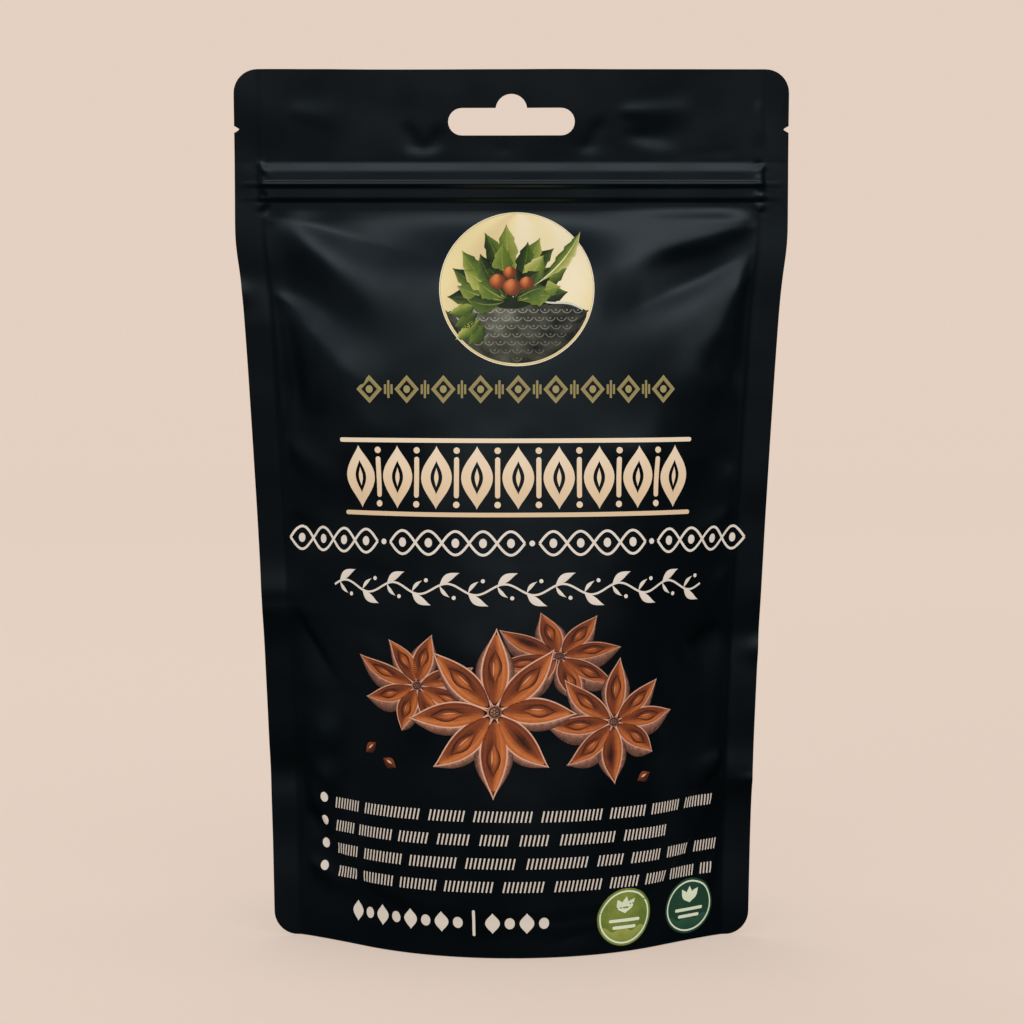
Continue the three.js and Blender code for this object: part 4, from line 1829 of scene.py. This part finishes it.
@dataclass(frozen=True)
class StarPod:
    """A star-shaped pod with eight open boats, each with a seed.

    Squash flattens the star upwards, and drop is how far the undersides of its boats show below their rims.
    """

    centre: Point
    reach: float
    angle: float
    order: int
    squash: float = 1.0
    drop: float = 0.1
    skew: float = 0.0
    light: float = 1.0
    seed: int = 1

    def place(self, along: float, across: float, angle: float) -> Point:
        """A place along and across a boat, as drawn.

        Args:
            along: How far out it lies.
            across: How far to the boat's left.
            angle: The boat's angle in degrees.

        Returns:
            The place.
        """
        turn = math.radians(angle)
        u = along * math.cos(turn) - across * math.sin(turn)
        z = along * math.sin(turn) + across * math.cos(turn)
        return self.centre[0] + u + self.skew * z, self.centre[1] + z * self.squash

    def boat(self, angle: float, length: float, width: float, bow: float) -> tuple[Array, Array, Array]:
        """The middle line of one boat, its half width, and the way to its left, at equal steps.

        Args:
            angle: Its angle in degrees.
            length: Its length.
            width: Its greatest width.
            bow: How far its middle bends to its left.

        Returns:
            The line, the half widths and the ways.
        """
        t = np.linspace(0, 1, 25)
        half = width / 2 * (t * (1 - t) ** 1.25 / 0.211 + 0.1 * (1 - t) ** 2)
        at = length * (0.06 + 0.94 * t)
        bend = bow * (np.sin(math.pi * t * 0.85) - 0.9 * t**5)
        middle = np.array([self.place(a, b, angle) for a, b in zip(at, bend)])
        aside = np.array([self.place(a, b + 1, angle) for a, b in zip(at, bend)]) - middle
        return middle, half, aside

    def patches(self) -> Iterable[tuple[str, Patch]]:
        """The star's patches, each with the name of the piece it belongs to.

        Returns:
            The patches, each with the name of its piece.
        """
        rng = np.random.default_rng(self.seed)
        base = self.order * 12
        rim = 0.13 + 0.0125 * self.reach
        for number in range(8):
            jitter, stretch, bow = rng.uniform(-5, 5), rng.uniform(0.9, 1.08), rng.uniform(-0.9, 0.9)
            angle = self.angle + 45 * number + float(jitter)
            length = self.reach * float(stretch)
            width = self.reach * 0.31
            middle, half, aside = self.boat(angle, length, width, float(bow))
            left, right = middle + half[:, None] * aside, middle - half[:, None] * aside
            turn = math.radians(angle)
            fall = np.array([0.0, -self.drop * self.reach * (0.75 + 0.25 * abs(math.cos(turn)))])
            swell = np.sin(math.pi * np.linspace(0, 1, 25) ** 1.2)[:, None]
            lower = right if math.cos(turn) >= 0 else left
            hull = dimmed(slope_tone(0.66, 0.24, 0.08), self.light)
            if abs(math.cos(turn)) < 0.35:
                for edge in (left, right):
                    out = (edge - middle) * 0.4 + fall * 0.25
                    yield "star_husks", Patch(edge, edge + out * swell, tone=hull, layer=base, across=3)
            else:
                yield "star_husks", Patch(lower, lower + fall * swell, tone=hull, layer=base, across=5)
            inner = np.maximum(half - rim, 0)
            edging = dimmed(slope_tone(1.0, 0.8, -0.05), self.light)
            for edge, way in ((left, 1), (right, -1)):
                inside = middle + way * inner[:, None] * aside
                yield "star_rims", Patch(edge, inside, tone=edging, layer=base + 2)
            keep = np.flatnonzero(inner > 0.06)
            first, last = keep[0], keep[-1] + 1
            inner = inner[first:last].copy()
            inner[0] = inner[-1] = 0.0
            reach_in = inner[:, None] * aside[first:last]
            lit = 1 if math.sin(turn + 0.9) > 0 else -1

            def hollow(t: Array, s: Array, lit: int = lit) -> Array:
                """One bright wall, one in shade, and a deep pit round the seed."""
                wall = 0.68 + 0.12 * s * lit - 0.12 * gauss(t / 0.22) + 0.035 * np.sin(19 * s + 4 * t)
                pit = 0.46 * gauss((s * lit + 0.15) / 0.5) * gauss((t - 0.52) / 0.3)
                return wall - pit - 0.2 * np.abs(s) ** 8

            cup = dimmed(hollow, self.light)
            line = middle[first:last]
            yield "star_cups", Patch(line + reach_in, line - reach_in, cup, base + 4, 12)
            if rng.uniform() < 0.88:
                root = self.place(length * 0.34, float(bow), angle)
                ends = (root, self.place(length * 0.74, float(bow) * 0.7, angle))
                size = width * 0.52 * (1 if abs(math.sin(turn)) > 0.5 else 0.4 + 0.6 * self.squash)

                def coat(t: Array, s: Array, lit: int = lit) -> Array:
                    """Glossy brown, darker towards its edges and ends."""
                    shine = 0.2 * gauss((s - 0.25 * lit) / 0.45) * gauss((t - 0.45) / 0.4)
                    return 0.5 + shine - 0.3 * np.abs(s) ** 3 - 0.14 * gauss((t - 1.0) / 0.3)

                shade = dimmed(coat, self.light)
                yield "star_seeds", almond(*ends, size, 0, 0.5, 16, tone=shade, layer=base + 6, across=8)
                start, end = np.array(ends)
                aim = np.array(self.place(1, 0.11 * size * lit, angle)) - self.place(1, 0, angle)
                glint = [tuple(start * (1 - w) + end * w + aim) for w in (0.2, 0.66)]
                shine = even_tone(0.86 * self.light)
                yield "star_glints", almond(*glint, size * 0.11, 0, 0.5, 8, tone=shine, layer=base + 7)
        yield from self.hub_patches(base)

    def hub_patches(self, base: int) -> Iterable[tuple[str, Patch]]:
        """The knob in the middle of the star on its dark ground, with a ring and six spokes.

        Args:
            base: The star's lowest layer.

        Returns:
            The patches, each with the name of its piece.
        """
        hub, dark = self.reach * 0.085, even_tone(0.15)
        size = np.array([hub, hub * self.squash])
        ground = disc(self.centre, *(3.2 * size), 16, tone=even_tone(0.06), layer=base, across=10)
        yield "star_husks", ground
        knob = dimmed(slope_tone(0.7, 0.5), self.light)
        yield "star_rims", disc(self.centre, *size, 12, tone=knob, layer=base + 8, across=8)
        yield "star_husks", ring(self.centre, *(0.78 * size), hub * 0.2, 20, tone=dark, layer=base + 9)
        for spoke in range(6):
            angle = spoke * 60 + self.angle
            ends = [turned(self.centre, angle, hub * share, self.squash) for share in (0.15, 0.5)]
            yield "star_husks", stroke(ends, hub * 0.16, tone=dark, layer=base + 9)


@dataclass(frozen=True)
class Label:
    """Everything that is printed on the front."""

    emblem: Emblem = field(default_factory=Emblem)
    bands: Bands = field(default_factory=Bands)
    stars: tuple[StarPod, ...] = (
        StarPod((11.5, 74.3), 17.0, 14, 0, squash=0.72, drop=0.16, light=0.86, seed=3),
        StarPod((25.0, 57.8), 17.0, 3, 1, squash=0.86, drop=0.15, skew=0.08, light=0.92, seed=5),
        StarPod((-23.0, 66.8), 16.5, 22, 1, squash=0.8, drop=0.15, skew=-0.1, light=0.92, seed=6),
        StarPod((-4.0, 60.8), 20.8, 1, 2, squash=0.97, drop=0.09, seed=2),
    )
    badges: tuple[Badge, ...] = (
        Badge("badge_green", (29.3, 8.8), 7.7, 7.3, 0.5, 0.95),
        Badge("badge_dark", (51.0, 8.8), 8.5, 7.0, 0.4, 0.9),
    )

    def star_pieces(self) -> list[PrintedPiece]:
        """The stars and a few loose seeds, one piece for each of their layers.

        Returns:
            The pieces, from the lowest up.
        """
        names = ("star_husks", "star_rims", "star_cups", "star_seeds", "star_glints")
        pieces = {name: PrintedPiece(name, "brown_ink") for name in names}
        for star in self.stars:
            for name, patch in star.patches():
                pieces[name].add(patch)
        for (u, z), angle in (((33.5, 43.6), 25), ((-30.5, 47.2), -30), ((-36.0, 50.6), 40)):
            ends = (turned((u, z), angle, -2.1), turned((u, z), angle, 2.1))
            pieces["star_seeds"].add(almond(*ends, 2.7, 0, 0.5, 12, tone=slope_tone(0.5, 0.2), across=5))
            glint = (turned((u, z + 0.3), angle, -1.0), turned((u, z + 0.3), angle, 0.9))
            pieces["star_glints"].add(almond(*glint, 0.5, 0, 0.5, 8, tone=even_tone(0.9), layer=1))
        return list(pieces.values())

    def badge_pieces(self) -> Iterable[PrintedPiece]:
        """The badges' fields and marks.

        Returns:
            The pieces, two for each badge.
        """
        for badge in self.badges:
            field_piece = PrintedPiece(badge.name, "green_ink")
            field_piece.add(*badge.field_patches())
            yield field_piece
            marks = PrintedPiece(badge.name + "_marks", "cream_ink")
            marks.add(*badge.mark_patches())
            yield marks

    def build(self, form: PackForm, inks: dict[str, bpy.types.Material]) -> None:
        """Wraps every piece round the pack.

        Args:
            form: The pack's form.
            inks: The material of each ink, by its name.
        """
        emblem, bands = self.emblem, self.bands
        plan = [
            (emblem.field_piece(), "field"),
            (emblem.hill_piece(), "stone"),
            (emblem.leaf_piece(), "green"),
            (emblem.fruit_piece(), "cup"),
            (bands.gold_row(), "gold"),
            (bands.title(), "cream"),
            *((band(), "fine") for band in (bands.chain, bands.scroll, bands.bullets, bands.weight)),
            *zip(self.star_pieces(), ("husk", "rim", "cup", "cup", "cup")),
            *zip(self.badge_pieces(), ("green", "mark", "dark_green", "mark")),
        ]
        for piece, ink in plan:
            made = piece.build(form, inks[ink])
            LOG.info("%s: %d faces", made.name, len(made.data.polygons))


# --------------------------------------------------------------------------------------------------
# The studio
# --------------------------------------------------------------------------------------------------


@dataclass(frozen=True)
class Softbox:
    """A rectangular light that faces the pack. Lengths are in metres, and the power is in watts."""

    name: str
    place: tuple[float, float, float]
    size: Point
    power: float
    tint: Colour = (0.92, 0.98, 1.03)
    aim: tuple[float, float, float] = (0.0, 0.0, 0.12)

    def build(self) -> None:
        """Adds the light."""
        data = bpy.data.lights.new(self.name, "AREA")
        data.shape = "RECTANGLE"
        data.size, data.size_y = self.size
        data.energy = self.power
        data.color = self.tint
        light = add_object(self.name, data)
        light.location = self.place
        light.rotation_euler = (light.location - Vector(self.aim)).to_track_quat("Z", "Y").to_euler()


@dataclass(frozen=True)
class Studio:
    """A pale round room, soft lights and the camera. Lengths are in metres."""

    backdrop: Colour = srgb(231, 212, 197)
    backdrop_grain: float = 0.97
    backdrop_diffuse: float = 0.25
    backdrop_glow: float = 0.79
    room_light: Colour = (0.742, 0.745, 0.75)
    room_radius: float = 2.4
    floor_level: float = -0.45
    floor_drop: float = 0.0002
    # Painted shade: how much of the floor's glow is taken away near the pack, where the lights fall, and the
    # distances over which it fades.
    painted_floor_dim: float = 0.105
    painted_dim_reach: Point = (1.3, 0.3)
    # A painted contact shadow in the floor's glow: how dark it is, the oval round the foot, and where it
    # fades.
    painted_contact_shadow: float = 0.045
    painted_shadow_oval: Point = (0.062, 0.027)
    painted_shadow_reach: Point = (2.6, 0.9)
    sky_tint: Colour = (0.66, 0.93, 1.10)
    sky_levels: tuple[Point, ...] = ((0.0, 0.004), (0.2, 0.02), (0.45, 0.06), (1.0, 0.2))
    back_glow: float = 0.7
    back_rise: Point = (-0.7, 0.8)
    back_spread: Point = (0.1, 0.7)
    softboxes: tuple[Softbox, ...] = (
        Softbox("key", (0.08, -0.74, 0.78), (1.12, 0.6), 3.65),
        Softbox("left", (-0.95, -0.3, 0.35), (0.8, 0.8), 0.2),
        Softbox("back_top", (-0.2, 0.5, 0.75), (0.6, 0.4), 2.2),
    )
    camera_aim: tuple[float, float, float] = (0.00015, 0.0, 0.1082)
    camera_distance: float = 0.650
    camera_rise: float = 3.5
    lens: float = 89.6
    sensor: float = 36.0

    def room(self) -> None:
        """A floor that curves up into a dome, lit evenly from within."""
        bm = bmesh.new()
        bmesh.ops.create_uvsphere(bm, u_segments=96, v_segments=64, radius=self.room_radius)
        floor = self.floor_level * self.room_radius
        for vert in bm.verts:
            vert.co.z = max(vert.co.z, floor) - floor - self.floor_drop
        bmesh.ops.reverse_faces(bm, faces=bm.faces)
        mesh = bpy.data.meshes.new("room")
        bm.to_mesh(mesh)
        bm.free()
        mesh.shade_smooth()
        mesh.materials.append(self.backdrop_material())
        room = add_object("room", mesh)
        room.visible_glossy = False

    def backdrop_material(self) -> bpy.types.Material:
        """A surface that glows: as the backdrop to the camera, with painted shade round the pack, and evenly
        grey to everything else.

        Returns:
            The material.
        """
        material, wiring, shader = start_material("backdrop", 0.9, 0.0)
        darker = [self.backdrop_grain * part for part in self.backdrop]
        tone = wiring.blend(wiring.noise(wiring.places(), 300.0), opaque(darker), opaque(self.backdrop))
        seen = wiring.add("LightPath")["Is Camera Ray"]
        looks = {
            "Base Color": opaque([self.backdrop_diffuse * part for part in self.backdrop]),
            # The camera sees the backdrop with painted shade near the pack and a painted contact shadow round
            # its foot.
            "Emission Color": wiring.blend(seen, opaque(self.room_light), self.painted_floor_shade(wiring, tone)),
            "Emission Strength": self.backdrop_glow,
        }
        wiring.feed(shader, looks)
        material.cycles.emission_sampling = "NONE"
        return material

    def painted_floor_shade(self, wiring: Wiring, tone: bpy.types.NodeSocket) -> bpy.types.NodeSocket:
        """Paints shade into the floor's glow: less glow near the pack, where the lights fall on it, and a
        painted contact shadow right beside the foot.

        Args:
            wiring: The backdrop's wiring.
            tone: Its colour.

        Returns:
            The darkened colour.
        """
        place = wiring.places()
        far = wiring.vector("LENGTH", place)
        # Painted shade: less glow near the pack, where the lights fall.
        lit = wiring.math("MULTIPLY", wiring.ramp(far, *self.painted_dim_reach), self.painted_floor_dim)
        # A painted contact shadow: the glow is taken down in an oval round the foot.
        half_x, half_y = self.painted_shadow_oval
        beside = wiring.vector("LENGTH", wiring.vector("MULTIPLY", place, (1 / half_x, 1 / half_y, 0.0)))
        painted_shadow = wiring.math("MULTIPLY", wiring.ramp(beside, *self.painted_shadow_reach), self.painted_contact_shadow)
        share = wiring.math("SUBTRACT", 1.0, wiring.math("ADD", lit, painted_shadow))
        return wiring.vector("SCALE", tone, share)

    def world(self) -> None:
        """What the film mirrors past the lights: dark at the horizon, brighter overhead and behind."""
        world = bpy.data.worlds.new("studio")
        bpy.context.scene.world = world
        world.use_nodes = True
        wiring = Wiring(world.node_tree)
        facing = wiring.add("SeparateXYZ", {0: wiring.add("TexCoord")["Generated"]})
        sky = [(place, [level * part for part in self.sky_tint]) for place, level in self.sky_levels]
        upwards = wiring.math("MULTIPLY", wiring.ramp(facing["Z"], *self.back_rise), self.back_glow)
        behind = wiring.math("MULTIPLY", wiring.ramp(facing["Y"], *self.back_spread), upwards)
        behind = wiring.vector("SCALE", self.sky_tint, behind)
        glow = wiring.vector("ADD", wiring.colours(facing["Z"], sky), behind)
        wiring.feed(world.node_tree.nodes["Background"], {"Color": glow})

    def camera(self) -> None:
        """Adds the camera."""
        data = bpy.data.cameras.new("camera")
        data.lens = self.lens
        data.sensor_width = self.sensor
        data.clip_start, data.clip_end = 0.01, 20.0
        camera = add_object("camera", data)
        rise = math.radians(self.camera_rise)
        back = Vector((0, -math.cos(rise), math.sin(rise)))
        camera.location = Vector(self.camera_aim) + back * self.camera_distance
        camera.rotation_euler = back.to_track_quat("Z", "Y").to_euler()
        bpy.context.scene.camera = camera

    def build(self) -> None:
        """Sets the whole studio up."""
        view = bpy.context.scene.view_settings
        view.view_transform = "Standard"
        view.look = "None"
        self.camera()
        self.room()
        self.world()
        for softbox in self.softboxes:
            softbox.build()


def main() -> None:
    """Builds the pack and the studio in order."""
    logging.basicConfig(level=logging.INFO, format="%(name)s: %(message)s")
    folds = {Side.FRONT: FRONT_FOLDS, Side.BACK: BACK_FOLDS}
    form = PackForm(folds=folds, header_folds=HEADER_FOLDS, kinks=WELD_KINKS)
    pouch = FilmPouch(form).build(FilmFinish().material(crinkle_group()))
    LOG.info("film pouch: %d faces", len(pouch.data.polygons))
    mottle = ink_group()
    Label().build(form, {ink.name.removesuffix("_ink"): ink.material(mottle) for ink in INKS})
    Studio().build()


if __name__ == "__main__":
    main()
